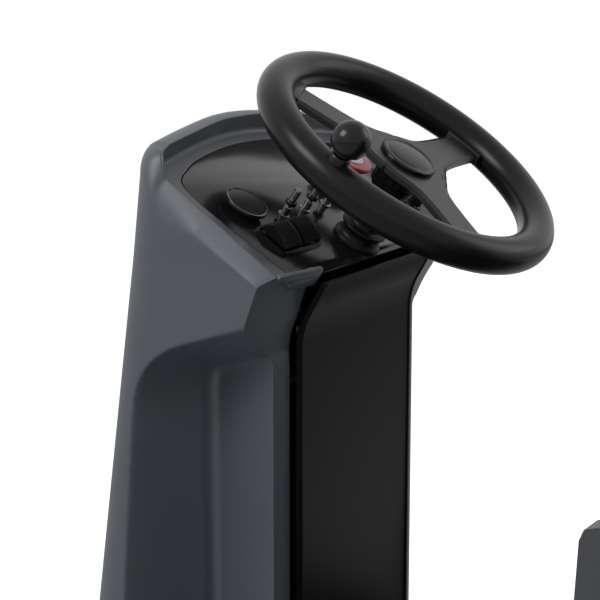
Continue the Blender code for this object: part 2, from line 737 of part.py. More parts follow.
def treadle(name, x, hinge_y, width, length, rise, finish):
    """A foot pedal on a hinge pin at the deck, with its plate rising towards the front."""
    pin = Matrix.Translation((x, hinge_y, DECK_TOP + 0.014))
    place = pin @ Matrix.Rotation(-math.radians(rise), 4, "X")
    pedal = placed(name, block((-width / 2, -length, 0.004), (width / 2, 0.004, 0.011)), finish, place)
    joined(
        pedal,
        (
            rod(0.006, -width / 2 - 0.006, width / 2 + 0.006, 16),
            place @ Matrix.Rotation(math.pi / 2, 4, "Y"),
        ),
    )
    joined(pedal, (block((-width / 2 + 0.001, -0.005, 0.0), (width / 2 - 0.001, 0.0035, 0.006)), place))
    bevelled(pedal, 0.001, 1, 60)
    deck = bpy.data.objects["floor_deck"]
    for side in (-1, 1):
        near, far = x + side * (width / 2 + 0.002), x + side * (width / 2 + 0.0102)
        joined(
            deck,
            block(
                *ordered(
                    (near, hinge_y - 0.012, DECK_TOP - 0.005), (far, hinge_y + 0.012, DECK_TOP + 0.026),
                )
            ),
        )
        bore = sorted((near - side * 0.001, far + side * 0.001))
        bore = [end - x for end in bore]
        cut(deck, (rod(0.006 + RUNNING, *bore, 16), along_x(x, hinge_y, DECK_TOP + 0.014)))


def make_pedals():
    """The accelerator on the right and the brake on the left, between the console and the deck's edge."""
    inner = CONSOLE_HALF_WIDTH + CONSOLE_SIDE_FLARE + PEDAL_GAP
    width = DECK_HALF_WIDTH - PEDAL_EDGE - inner
    middle = inner + width / 2
    hinge_y = WHEEL_CENTRE.y - 0.055
    treadle("accelerator_pedal", -middle, hinge_y, width, 0.150, 32, RUBBER)
    treadle("brake_pedal", middle, hinge_y, width, 0.120, 32, RUBBER)


def make_dash_controls():
    base = on_dash(-0.100, 0.096)
    stem = 0.0105
    bore = stem + 0.0005
    collar = [
        (0, CLEARANCE), (0.020, CLEARANCE), (0.020, 0.008), (0.017, 0.010), (bore, 0.010), (bore, 0.002),
        (0, 0.002),
    ]
    placed("stop_collar", turned(collar, 18), GREY, base)
    button = [
        (0, 0.0085), (stem, 0.0085), (stem, 0.020), (0.0225, 0.022), (0.0240, 0.026), (0.0240, 0.030),
        (0.0150, 0.0335), (0, 0.0340),
    ]
    placed("stop_button", turned(button, 18), RED, base)

    stem = 0.008
    disc = [
        (0, -0.006), (stem, -0.006), (stem, 0.008), (0.0240, 0.008), (0.0255, 0.0095), (0.0255, 0.0125),
        (0.0250, 0.013), (0, 0.013),
    ]
    place = on_dash(0.132, 0.082)
    placed("round_button", turned(disc, 20), BLACK, place)
    cut(bpy.data.objects["dash_panel"], (rod(stem + RUNNING, -0.02, 0.02), place))

    for index, x in enumerate((0.0735, 0.0280, -0.0170), 1):
        base = on_dash(x, 0.0615)
        bush = [
            (0, CLEARANCE), (0.0085, CLEARANCE), (0.0085, 0.003), (0.0048, 0.004), (0.0048, 0.012),
            (0.0030, 0.0125), (0.0030, 0.008), (0, 0.008),
        ]
        placed(f"toggle_bush_{index}", turned(bush, 12), STEEL, base)
        lever = [
            (0, 0.0088), (0.0018, 0.0088), (0.0018, 0.0155), (0.0068, 0.0162), (0.0068, 0.0205),
            (0.0040, 0.0215), (0.0034, 0.0345), (0, 0.036),
        ]
        placed(f"toggle_lever_{index}", turned(lever, 12), GLOSS, base)

    frame = prism(rounded((-0.0415, -0.0225), (0.0415, 0.0225), 0.004, 2), CLEARANCE, 0.005)
    frame = placed("paddle_frame", frame, BLACK, on_dash(0.1090, 0.0285))
    for index, x in enumerate((0.1285, 0.0890), 1):
        base = on_dash(x, 0.0285)
        cut(frame, (block((-0.0180, -0.0200, 0.002), (0.0180, 0.0200, 0.02)), base))
        wedge = [
            (0.0185, 0.0062), (0.0185, 0.0100), (0.0040, 0.0175), (-0.0080, 0.0200), (-0.0185, 0.0110),
            (-0.0185, 0.0062), (0.0, 0.0027),
        ]
        placed(f"paddle_switch_{index}", prism(wedge, -0.0172, 0.0172, "x"), GLOSS, base)

    knob = [
        (0, CLEARANCE), (0.0105, CLEARANCE), (0.0105, 0.004), (0.0085, 0.0055), (0.0070, 0.0190),
        (0, 0.0200),
    ]
    placed("speed_knob", turned(knob, 24), BLACK, on_dash(-0.170, 0.024))


def make_main_brush():
    """The sweeping roller under the seat, carried by a lifting arm on each side."""
    half = MAIN_BRUSH_LENGTH / 2
    place = along_x(0, MAIN_BRUSH_Y, MAIN_BRUSH_Z)
    arm_inner = half + 0.006
    core = placed("main_brush_core", rod(MAIN_BRUSH_CORE, -half - 0.002, half + 0.002, 28), BLACK, place)
    joined(core, (rod(0.010, -arm_inner - ARM_THICKNESS + 0.001, arm_inner + ARM_THICKNESS - 0.001), place))
    placed(
        "main_brush_bristles", pipe(MAIN_BRUSH_CORE + CLEARANCE, MAIN_BRUSH_RADIUS, -half, half, 28),
        BRISTLE, place,
    )

    pivot = along_x(0, ARM_PIVOT.y, ARM_PIVOT.z)
    reach = RAIL_OUTER - 0.006
    arm = placed("main_brush_arm", rod(0.008, -reach, reach), PAINTED, pivot)
    joined(arm, (rod(0.014, -arm_inner - 0.003, arm_inner + 0.003), pivot))
    for side in (-1, 1):
        ends = sorted((side * arm_inner, side * (arm_inner + ARM_THICKNESS)))
        bar = [(ARM_PIVOT.y - 0.018, ARM_PIVOT.z + 0.012), (ARM_PIVOT.y - 0.018, ARM_PIVOT.z - 0.014),
               (MAIN_BRUSH_Y - 0.022, MAIN_BRUSH_Z - 0.018), (MAIN_BRUSH_Y + 0.018, MAIN_BRUSH_Z - 0.018),
               (MAIN_BRUSH_Y + 0.018, MAIN_BRUSH_Z + 0.020), (ARM_PIVOT.y + 0.016, ARM_PIVOT.z + 0.016)]
        joined(arm, prism(bar, *ends, "x"))
    cut(arm, (rod(0.010 + RUNNING, -0.4, 0.4), place))


def make_side_brush(side, name):
    """A dished side brush on a lifting arm, which hangs from the frame's front."""
    centre = Vector((side * SIDE_BRUSH_AT.x, SIDE_BRUSH_AT.y, 0))
    place = Matrix.Translation(centre)
    motor_low = 0.092
    arm = placed(f"{name}_brush_arm", rod(0.040, motor_low, 0.165, 18), PAINTED, place)
    pivot_y, pivot_z = -0.385, 0.200
    bar = [
        (centre.y, 0.120), (centre.y, 0.150), (pivot_y - 0.012, pivot_z + 0.012),
        (pivot_y + 0.012, pivot_z + 0.012), (pivot_y + 0.012, pivot_z - 0.012),
    ]
    ends = sorted((side * (RAIL_OUTER + 0.006), side * (RAIL_OUTER + 0.026)))
    joined(arm, prism(bar, *ends, "x"))
    ends = sorted((side * (RAIL_OUTER - 0.020), side * (RAIL_OUTER + 0.020)))
    joined(arm, (rod(0.007, *ends, 16), along_x(0, pivot_y, pivot_z)))
    disc = placed(f"{name}_brush", rod(0.075, 0.062, 0.082, 20), BRISTLE, place)
    joined(
        disc,
        (
            turned(
                [
                    (0.030, 0.063), (0.074, 0.063), (SIDE_BRUSH_RADIUS, 0.006),
                    (SIDE_BRUSH_RADIUS - 0.012, 0.004), (0.060, 0.045), (0.030, 0.050),
                ],
                20,
            ),
            place,
        ),
    )
    joined(disc, (rod(0.012, 0.080, motor_low - CLEARANCE), place))


def make_side_pivots():
    """Lugs under the rails for the side-brush arms' pins."""
    frame = bpy.data.objects["main_frame"]
    for side in (-1, 1):
        lug = ordered(
            (side * (RAIL_OUTER - RAIL_WIDTH), -0.400, 0.182),
            (side * (RAIL_OUTER - 0.002), -0.370, DECK_TOP - DECK_THICKNESS - RAIL_HEIGHT + 0.004),
        )
        joined(frame, block(*lug))
        ends = sorted((side * (RAIL_OUTER - 0.0206), side * (RAIL_OUTER + 0.01)))
        cut(frame, (rod(0.007 + RUNNING, *ends, 16), along_x(0, -0.385, 0.200)))


def make_hopper():
    """The debris bin, which hangs by its lips on the rails and slides out at the back."""
    half = HOPPER_HALF_WIDTH
    low, top = 0.090, HOPPER_TOP
    rear = MACHINE_REAR - 0.004
    side = [
        (HOPPER_FRONT, low + 0.020), (HOPPER_FRONT + 0.03, low), (rear - 0.03, low), (rear, low + 0.030),
        (rear, top), (HOPPER_FRONT + 0.02, top), (HOPPER_FRONT, top - 0.02),
    ]
    bin_ = placed("hopper_bin", prism(side, -half, half, "x"), BLACK)
    for sign in (-1, 1):
        lip = ordered(
            (sign * (half - 0.002), HOPPER_FRONT + 0.010, DECK_TOP - DECK_THICKNESS),
            (sign * (RAIL_OUTER - POST_THICKNESS - 0.002), 0.590, DECK_TOP - DECK_THICKNESS + 0.006),
        )
        joined(bin_, block(*lip))
    joined(
        bin_,
        block(
            (0.001 - RAIL_OUTER, rear - 0.006, low + 0.028),
            (RAIL_OUTER - 0.001, rear - 0.0004, top - 0.0005),
        ),
    )
    wall = HOPPER_WALL
    front = HOPPER_FRONT
    inside = [
        (front - 0.01, low + 0.060), (front + wall, low + 0.060), (front + wall, low + 0.022),
        (front + 0.032, low + wall), (rear - 0.032, low + wall), (rear - wall, low + 0.032),
        (rear - wall, top - wall), (front - 0.01, top - wall),
    ]
    cut(bin_, prism(inside, -half + wall, half - wall, "x"))

    grip = placed(
        "hopper_handle", block((-0.110, rear + 0.016, 0.300), (0.110, rear + 0.024, 0.322)), BLACK,
    )
    for x in (-0.100, 0.100):
        joined(grip, block((x - 0.0099, rear + CLEARANCE, 0.3003), (x + 0.0099, rear + 0.0238, 0.3217)))


def body_outline(half, front, rear, radius=0.070):
    return rounded((-half, front), (half, rear), radius, 5)


def make_rear_body():
    """The moulded rear body round the hopper, battery and rear wheels, with a wing by the seat."""
    levels = (
        (BODY_BOTTOM, BODY_HALF_WIDTH, BODY_FRONT), (0.480, BODY_HALF_WIDTH, BODY_FRONT),
        (BODY_SHOULDER, BODY_HALF_WIDTH - 0.015, BODY_FRONT),
        (BODY_TOP, BODY_TOP_HALF_WIDTH, BODY_FRONT + 0.004),
    )
    outer = [at_level(body_outline(half, front, MACHINE_REAR), z) for z, half, front in levels]
    body = placed("rear_body", lofted(outer), SHELL)
    wing = [
        (0.052, BODY_TOP - 0.004), (0.0555, WING_TOP - 0.015), (0.060, WING_TOP - 0.004),
        (0.072, WING_TOP), (0.300, WING_TOP), (0.560, BODY_TOP - 0.004),
    ]
    for side in (-1, 1):
        inner, outer_x = BODY_TOP_HALF_WIDTH - WING_THICKNESS, BODY_TOP_HALF_WIDTH
        ends = sorted((side * inner, side * (outer_x - 0.004)))
        joined(body, prism(wing, *ends, "x"))
    wall = BODY_WALL
    inner = []
    for (z, half, front), shift in zip(levels, (-0.02, 0, 0, -0.018)):
        plan = body_outline(half - wall, front + wall, MACHINE_REAR - wall, 0.066)
        inner.append(at_level(plan, z + shift))
    cut(body, lofted(inner))
    top_hole = rounded((-HOOD_HALF_WIDTH, 0.020), (HOOD_HALF_WIDTH, HOOD_REAR), 0.010, 2)
    cut(body, prism(top_hole, BODY_TOP - 0.012, BODY_TOP + 0.05))
    well = rounded(
        (-HOOD_HALF_WIDTH + 0.014, 0.066), (HOOD_HALF_WIDTH - 0.014, HOOD_REAR - 0.001), 0.010, 2,
    )
    cut(body, prism(well, BODY_TOP - 0.05, BODY_TOP + 0.05))
    ledge_end = HOOD_REAR - 0.040
    swing = block(
        (-HOOD_HALF_WIDTH, ledge_end, BODY_TOP - 0.05),
        (HOOD_HALF_WIDTH, HOOD_REAR - 0.001, BODY_TOP + 0.05),
    )
    cut(body, swing)
    half = RAIL_OUTER + 0.002
    gate = HOPPER_TOP + 0.004
    cut(body, block((-half, MACHINE_REAR - 0.03, BODY_BOTTOM - 0.01), (half, MACHINE_REAR + 0.03, gate)))
    cut(body, block((-0.300, 0.0, BODY_BOTTOM - 0.01), (0.300, 0.080, DECK_TOP)))
    reach = REAR_WHEEL_RADIUS + 0.020
    arch = arc((REAR_AXLE_Y, REAR_WHEEL_RADIUS + 0.012), reach, 0, 180, 14)
    arch = [(REAR_AXLE_Y + reach, 0.05)] + arch + [(REAR_AXLE_Y - reach, 0.05)]
    for side in (-1, 1):
        cut(body, prism(arch, *sorted((side * 0.340, side * 0.42)), "x"))


def make_hood():
    """The hinged hood under the seat: a lid with a rear hinge barrel, its seat rails, and the seat."""
    rest = BODY_TOP - 0.012 + CLEARANCE
    top = BODY_TOP + 0.004
    half = HOOD_HALF_WIDTH - 0.0015
    lid = placed(
        "hood", prism(rounded((-half, 0.052), (half, HOOD_REAR - 0.0015), 0.012, 2), rest, top), SHELL,
    )
    hinge = along_x(0, HOOD_REAR - 0.010, top + 0.006)
    for x in (-0.16, 0.16):
        joined(lid, (rod(0.008, x - 0.030, x + 0.030, 20), hinge))
    bevelled(lid, 0.002, 1, 60)

    plate = block(
        (-0.240, HOOD_REAR + 0.002, BODY_TOP + CLEARANCE), (0.240, HOOD_REAR + 0.030, BODY_TOP + 0.006),
    )
    pins = placed("hood_hinge", plate, PAINTED)
    pin_radius = 0.004
    lug_radius = 0.0055
    lug_half = 0.006
    joined(pins, (rod(pin_radius, -0.205, 0.205, 16), hinge))
    for x in (-0.205, 0.205):
        joined(pins, (rod(lug_radius, x - lug_half, x + lug_half, 16), hinge))
        lug = block(
            (x - lug_half, HOOD_REAR - 0.010, top + CLEARANCE),
            (x + lug_half, HOOD_REAR + 0.0296, top + 0.006 + lug_radius),
        )
        joined(pins, lug)
    cut(lid, (rod(pin_radius + RUNNING, -0.3, 0.3, 16), hinge))

    rails = placed("seat_rails", block((-0.159, 0.112, top + 0.0005), (0.159, 0.130, top + 0.003)), STEEL)
    joined(rails, block((-0.159, 0.500, top + 0.0005), (0.159, 0.518, top + 0.003)))
    for side in (1, -1):
        joined(
            rails,
            block(*ordered((side * 0.130, 0.110, top + CLEARANCE), (side * 0.160, 0.520, top + 0.012))),
        )
        cut(rails, block(*ordered((side * 0.138, 0.10, top + 0.005), (side * 0.152, 0.53, top + 0.02))))


def make_seat():
    base = BODY_TOP + 0.004 + 0.012 + CLEARANCE
    plate = 0.006
    rear = SEAT_FRONT + SEAT_DEPTH
    half = SEAT_HALF_WIDTH
    pan = placed(
        "seat_pan", block((-0.190, SEAT_FRONT + 0.030, base), (0.190, rear + 0.020, base + plate)),
        PAINTED,
    )
    for side in (-1, 1):
        slide = ordered((side * 0.1385, 0.180, base - 0.0055), (side * 0.1515, 0.470, base + 0.001))
        joined(pan, block(*slide))
    lean = Matrix.Translation((0, rear + 0.010, base)) @ Matrix.Rotation(-BACKREST_TILT, 4, "X")
    joined(pan, (block((-0.180, 0.0, 0.001), (0.180, 0.006, 0.300)), lean))
    top = base + plate + CLEARANCE
    cushion = placed(
        "seat_cushion",
        prism(rounded((-half, SEAT_FRONT), (half, rear - 0.010), 0.060, 4), top, top + SEAT_THICKNESS),
        VINYL,
    )
    bevelled(cushion, 0.018, 1, 60)
    thick = 0.070
    back = prism(
        rounded((-half, 0.100), (half, 0.100 + BACKREST_HEIGHT - 0.060), 0.070, 5), -thick, -CLEARANCE,
        "y",
    )
    back = placed("backrest", back, VINYL, lean)
    bevelled(back, 0.016, 1, 60)


def make_power_unit():
    level = SHELF_TOP + CLEARANCE
    battery = placed("battery", block((-0.230, 0.125, level), (0.230, 0.345, level + 0.200)), BLACK)
    for x in (-0.18, 0.18):
        joined(battery, block((x - 0.012, 0.150, level + 0.199), (x + 0.012, 0.174, level + 0.212)))
    bevelled(battery, 0.004, 1, 60)
    filter_box = placed("filter_box", block((-0.230, 0.375, level), (0.230, 0.600, level + 0.110)), BLACK)
    bevelled(filter_box, 0.004, 1, 60)
    place = Matrix.Translation((0, 0.480, level + 0.110 + CLEARANCE))
    housing = [(0, 0), (0.085, 0), (0.090, 0.006), (0.090, 0.050), (0.084, 0.056)]
    housing += [(0.040, 0.056), (0.036, 0.090), (0, 0.092)]
    fan = placed("suction_fan", turned(housing, 20), PAINTED, place)
    joined(fan, (block((0.0, 0.050, 0.008), (0.120, 0.088, 0.048)), place))


def build():
    for thing in list(bpy.data.objects):
        bpy.data.objects.remove(thing, do_unlink=True)
    make_steering_wheel()
    make_spinner_knob()
    make_console()
    make_console_panel()
    make_column()
    make_stand()
    make_intermediate_shaft()
    make_chain()
    make_fork()
    make_wheels()
    make_frame()
    make_side_pivots()
    make_deck()
    make_pedals()
    make_dash_controls()
    make_main_brush()
    make_side_brush(1, "left")
    make_side_brush(-1, "right")
    make_hopper()
    make_rear_body()
    make_hood()
    make_seat()
    make_power_unit()


build()
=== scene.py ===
"""The looks of a compact ride-on sweeper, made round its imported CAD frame.

It drives towards -Y, its left side is at +X, and it stands on the floor at Z = 0. Metres throughout.
"""

import json
import math
import random

import bmesh
import bpy
import numpy as np
from mathutils import Matrix, Vector


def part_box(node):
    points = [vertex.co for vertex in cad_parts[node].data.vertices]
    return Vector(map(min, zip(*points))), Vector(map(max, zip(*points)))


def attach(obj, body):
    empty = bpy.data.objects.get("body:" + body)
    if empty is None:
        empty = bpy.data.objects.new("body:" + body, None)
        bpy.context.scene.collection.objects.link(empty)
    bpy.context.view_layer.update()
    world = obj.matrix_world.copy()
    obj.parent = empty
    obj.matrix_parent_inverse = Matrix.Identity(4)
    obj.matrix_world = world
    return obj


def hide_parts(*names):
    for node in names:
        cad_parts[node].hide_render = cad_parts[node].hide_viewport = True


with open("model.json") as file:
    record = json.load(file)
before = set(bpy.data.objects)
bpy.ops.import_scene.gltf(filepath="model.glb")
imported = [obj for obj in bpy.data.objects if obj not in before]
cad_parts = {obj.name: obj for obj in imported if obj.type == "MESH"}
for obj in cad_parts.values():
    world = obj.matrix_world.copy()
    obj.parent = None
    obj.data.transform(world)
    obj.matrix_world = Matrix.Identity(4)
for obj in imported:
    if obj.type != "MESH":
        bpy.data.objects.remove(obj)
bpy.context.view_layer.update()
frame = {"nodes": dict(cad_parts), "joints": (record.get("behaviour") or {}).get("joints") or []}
joints = {joint["name"]: joint for joint in frame["joints"]}


# ---- Camera, floor and studio light -------------------------------------------------------------
# A long lens stands high behind the machine's left side and looks down on the driver's console.
# The floor is plain and pale, and the room round it is white to the eye and to every reflection.

camera = bpy.data.objects.new("camera", bpy.data.cameras.new("camera"))
bpy.context.scene.collection.objects.link(camera)
camera.data.lens = 111.24
camera.data.sensor_width = 36.0
camera.data.clip_end = 60.0
camera.location = (1.797, 0.660, 1.364)
camera.rotation_euler = Vector((-0.8365, -0.5068, -0.2086)).to_track_quat("-Z", "Y").to_euler()
bpy.context.scene.camera = camera
bpy.context.scene.view_settings.view_transform = "Standard"


def new_material(name):
    """A new material, its node tree and its Principled shader."""
    material = bpy.data.materials.new(name)
    material.use_nodes = True
    tree = material.node_tree
    return material, tree, tree.nodes["Principled BSDF"]


floor_mesh = bmesh.new()
bmesh.ops.create_circle(floor_mesh, cap_ends=True, segments=96, radius=9.0)
floor_data = bpy.data.meshes.new("floor")
floor_mesh.to_mesh(floor_data)
floor = bpy.data.objects.new("floor", floor_data)
bpy.context.scene.collection.objects.link(floor)
floor_paint, tree, shader = new_material("floor paint")
shader.inputs["Base Color"].default_value = (0.80, 0.80, 0.80, 1.0)
shader.inputs["Roughness"].default_value = 0.85
rays = tree.nodes.new("ShaderNodeLightPath")
lift = tree.nodes.new("ShaderNodeEmission")
strength = tree.nodes.new("ShaderNodeMath")
strength.operation = "MULTIPLY"
strength.inputs[1].default_value = 0.75
both = tree.nodes.new("ShaderNodeAddShader")
tree.links.new(rays.outputs["Is Camera Ray"], strength.inputs[0])
tree.links.new(strength.outputs[0], lift.inputs["Strength"])
tree.links.new(shader.outputs[0], both.inputs[0])
tree.links.new(lift.outputs[0], both.inputs[1])
tree.links.new(both.outputs[0], tree.nodes["Material Output"].inputs["Surface"])
floor_data.materials.append(floor_paint)

world = bpy.data.worlds.new("studio")
bpy.context.scene.world = world
world.use_nodes = True
tree = world.node_tree
rays = tree.nodes.new("ShaderNodeLightPath")
seen = tree.nodes.new("ShaderNodeMath")
seen.operation = "MAXIMUM"
seen_through = tree.nodes.new("ShaderNodeMath")
seen_through.operation = "MAXIMUM"
level = tree.nodes.new("ShaderNodeMapRange")
ROOM_LIGHT = 0.42
level.inputs["To Min"].default_value = ROOM_LIGHT
level.inputs["To Max"].default_value = 1.0
tree.links.new(rays.outputs["Is Camera Ray"], seen.inputs[0])
tree.links.new(rays.outputs["Is Glossy Ray"], seen.inputs[1])
tree.links.new(seen.outputs[0], seen_through.inputs[0])
tree.links.new(rays.outputs["Is Transmission Ray"], seen_through.inputs[1])
tree.links.new(seen_through.outputs[0], level.inputs["Value"])
tree.links.new(level.outputs[0], tree.nodes["Background"].inputs["Strength"])
tree.nodes["Background"].inputs["Color"].default_value = (1.0, 1.0, 1.0, 1.0)


def softbox(name, at, towards, size, watts):
    """A square studio lamp that points from one place at another."""
    lamp = bpy.data.lights.new(name, "AREA")
    lamp.size = size
    lamp.energy = watts
    thing = bpy.data.objects.new(name, lamp)
    bpy.context.scene.collection.objects.link(thing)
    thing.location = at
    thing.rotation_euler = (Vector(towards) - Vector(at)).to_track_quat("-Z", "Y").to_euler()


softbox("key_light", (2.6, -1.6, 3.4), (0.0, -0.1, 0.7), 1.6, 84.0)
softbox("fill_light", (-2.4, 2.2, 2.6), (0.0, 0.0, 0.7), 2.2, 30.0)


# ---- Console shell ------------------------------------------------------------------------------
# The tall moulded tub that holds the dash, rotation-moulded in blue-grey polyethylene about 4 mm
# thick. It flares towards the deck, and each side has a deep recess for the driver's knees.

WHEEL_AT = Vector(joints["steering_turn"]["pos_m"])
COLUMN_AXIS = Vector(joints["steering_turn"]["axis"]).normalized()
DOWN_SLOPE = Vector((0.0, COLUMN_AXIS.z, -COLUMN_AXIS.y))
WHEEL_AXES = Matrix((Vector((1, 0, 0)), DOWN_SLOPE, COLUMN_AXIS)).transposed().to_4x4()
WHEEL = Matrix.Translation(WHEEL_AT) @ WHEEL_AXES
dash_level = max((v.co - WHEEL_AT) @ COLUMN_AXIS for v in frame["nodes"]["dash_panel"].data.vertices)
DASH = WHEEL @ Matrix.Translation((0.0, 0.0, dash_level))
DECK_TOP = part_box("floor_mat")[0].z - 0.0003


def on_dash(x, up_slope, height=0.0):
    """A place on the dash: to the left, up the slope and above its face."""
    return DASH @ Matrix.Translation((x, -up_slope, height))


def dash_point(x, up_slope, height=0.0):
    return np.array(DASH @ Vector((x, -up_slope, height)))


def textured(material, base, shade, rough, grain, depth, blotch=3.0, distance=0.0004):
    """Gives a material its grain: two colours in soft blotches, uneven gloss and a fine pebbled skin."""
    tree = material.node_tree
    shader = tree.nodes["Principled BSDF"]
    where = tree.nodes.new("ShaderNodeTexCoord")
    broad = tree.nodes.new("ShaderNodeTexNoise")
    broad.inputs["Scale"].default_value = blotch
    broad.inputs["Detail"].default_value = 4.0
    fine = tree.nodes.new("ShaderNodeTexNoise")
    fine.inputs["Scale"].default_value = grain
    fine.inputs["Detail"].default_value = 2.0
    for noise in (broad, fine):
        tree.links.new(where.outputs["Object"], noise.inputs["Vector"])
    blend = tree.nodes.new("ShaderNodeMix")
    blend.data_type = "RGBA"
    blend.inputs["A"].default_value = (*base, 1.0)
    blend.inputs["B"].default_value = (*shade, 1.0)
    tree.links.new(broad.outputs["Fac"], blend.inputs["Factor"])
    tree.links.new(blend.outputs["Result"], shader.inputs["Base Color"])
    gloss = tree.nodes.new("ShaderNodeMapRange")
    gloss.inputs["To Min"].default_value = rough[0]
    gloss.inputs["To Max"].default_value = rough[1]
    tree.links.new(fine.outputs["Fac"], gloss.inputs["Value"])
    tree.links.new(gloss.outputs["Result"], shader.inputs["Roughness"])
    bump = tree.nodes.new("ShaderNodeBump")
    bump.inputs["Strength"].default_value = depth
    bump.inputs["Distance"].default_value = distance
    tree.links.new(fine.outputs["Fac"], bump.inputs["Height"])
    tree.links.new(bump.outputs["Normal"], shader.inputs["Normal"])
    return material


def moulded(name, base, rough=(0.38, 0.46), grain=900.0, depth=0.12, spread=0.12, shine=0.5):
    """A moulded plastic with a fine leathery skin. Its shine is how strongly it reflects face on."""
    material, _, shader = new_material(name)
    shader.inputs["Specular IOR Level"].default_value = shine
    shade = tuple(part * (1.0 - spread) for part in base)
    return textured(material, base, shade, rough, grain, depth)


def piece(name, points, faces, material, body, stands_for=(), sharp=38.0):
    """One named piece from its points and faces, shaded smooth but for its crisp edges."""
    mesh = bpy.data.meshes.new(name)
    mesh.from_pydata([tuple(map(float, point)) for point in points], [], faces)
    shape = bmesh.new()
    shape.from_mesh(mesh)
    bmesh.ops.remove_doubles(shape, verts=shape.verts, dist=1e-6)
    bmesh.ops.dissolve_degenerate(shape, edges=shape.edges, dist=1e-6)
    bmesh.ops.recalc_face_normals(shape, faces=shape.faces)
    shape.to_mesh(mesh)
    shape.free()
    return dressed(mesh, name, material, body, stands_for, sharp)


def dressed(mesh, name, material, body, stands_for=(), sharp=38.0):
    """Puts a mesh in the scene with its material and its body."""
    thing = bpy.data.objects.new(name, mesh)
    bpy.context.scene.collection.objects.link(thing)
    mesh.materials.clear()
    mesh.materials.append(material)
    mesh.shade_smooth()
    mesh.set_sharp_from_angle(angle=math.radians(sharp))
    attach(thing, body)
    if stands_for:
        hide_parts(*stands_for)
    return thing


def grid_faces(rows, columns, ring=False, caps=False):
    """Faces of a grid of points, row by row. A ring closes each row, and caps close both ends."""
    faces = []
    for i in range(rows - 1):
        for j in range(columns if ring else columns - 1):
            k = (j + 1) % columns
            faces.append((i * columns + j, i * columns + k, (i + 1) * columns + k, (i + 1) * columns + j))
    if caps:
        faces.append(tuple(range(columns)))
        faces.append(tuple((rows - 1) * columns + j for j in reversed(range(columns))))
    return faces


def softened(corners, radii, steps=5):
    """A line through corners with each corner rounded by its own radius, as a list of points.
    A corner always gives the same number of points, so that sections of one shape match."""
    corners = [np.array(corner, float) for corner in corners]
    count = len(corners)
    line = []
    for i, corner in enumerate(corners):
        if i in (0, count - 1):
            line.append(corner)
            continue
        before, after = corners[i - 1], corners[i + 1]
        back, on = before - corner, after - corner
        lengths = np.linalg.norm(back), np.linalg.norm(on)
        reach = min(radii[i], 0.48 * lengths[0], 0.48 * lengths[1])
        start = corner + back * (reach / max(lengths[0], 1e-9))
        end = corner + on * (reach / max(lengths[1], 1e-9))
        for step in range(steps + 1):
            t = step / steps
            line.append((1 - t) ** 2 * start + 2 * t * (1 - t) * corner + t * t * end)
    return line


def smooth_step(value):
    value = np.clip(value, 0.0, 1.0)
    return value * value * (3 - 2 * value)


def spline(knots, count):
    """Evenly spaced points along a smooth line through a few knots."""
    knots = np.array(knots, float)
    ends = np.vstack([2 * knots[0] - knots[1], knots, 2 * knots[-1] - knots[-2]])
    line = []
    for i in range(1, len(ends) - 2):
        a, b, c, d = ends[i - 1 : i + 3]
        for t in np.linspace(0, 1, 24, endpoint=False):
            square, cube = 2 * a - 5 * b + 4 * c - d, 3 * b - a - 3 * c + d
            line.append(0.5 * (2 * b + (c - a) * t + square * t**2 + cube * t**3))
    line.append(knots[-1])
    line = np.array(line)
    along = np.concatenate([[0], np.cumsum(np.linalg.norm(np.diff(line, axis=0), axis=1))])
    wanted = np.linspace(0, along[-1], count)
    return np.stack([np.interp(wanted, along, line[:, k]) for k in range(line.shape[1])], axis=1)


shell_plastic = moulded("shell polyethylene", (0.058, 0.068, 0.080), (0.40, 0.50), 1100.0, 0.10)

# Its plan at each height, and the lean of its back.
half_width, wall_half, side_flare = 0.200, 0.213, 0.033
front_reach, front_flare = 0.2480, 0.0980
front_arc, corner = 0.757, 0.052
flare_top, side_top, flare_foot = WHEEL_AT.z + 0.030, WHEEL_AT.z - 0.100, DECK_TOP
back_knots = softened([(-0.112, -0.0345), (-0.178, -0.0713), (-0.300, -0.0713)], [0, 0.022, 0], 6)
groove_x, back_fall = 0.1335, 0.19


def back_line(height):
    """How far the console's back stands ahead of the wheel's centre, at a height above the floor."""
    levels = [WHEEL_AT.z + z for z, y in reversed(back_knots)]
    places = [WHEEL_AT.y + y for z, y in reversed(back_knots)]
    return float(np.interp(height, levels, places))


def back_at(x, height):
    """The back of the shell at a place: it falls away towards the side."""
    return back_line(height) - back_fall * max(x - groove_x, 0.0)


def outer_plan(height, side_count, corner_count, front_count):
    """The left half of the plan at a height: along the side, round the corner and to the middle."""
    share = (flare_top - height) / (flare_top - flare_foot)
    half = wall_half + side_flare * max(side_top - height, 0.0) / (side_top - flare_foot)
    front = WHEEL_AT.y - front_reach - front_flare * share
    end = (half - corner) / (1 - corner / front_arc)
    lean = math.asin(end / front_arc)
    middle_y = front + front_arc * (1 - math.cos(lean)) + corner * math.cos(lean)
    line = []
    back = back_at(half, height)
    back = back_at(side_limit(back, height, half), height)
    for share in np.linspace(0, 1, side_count, endpoint=False):
        line.append((half, back + (middle_y - back) * share))
    for share in np.linspace(0, 1, corner_count, endpoint=False):
        turn = -(math.pi / 2 - lean) * share
        line.append((half - corner + corner * math.cos(turn), middle_y + corner * math.sin(turn)))
    for share in np.linspace(1, 0, front_count):
        turn = lean * share
        line.append((front_arc * math.sin(turn), front + front_arc * (1 - math.cos(turn))))
    return line


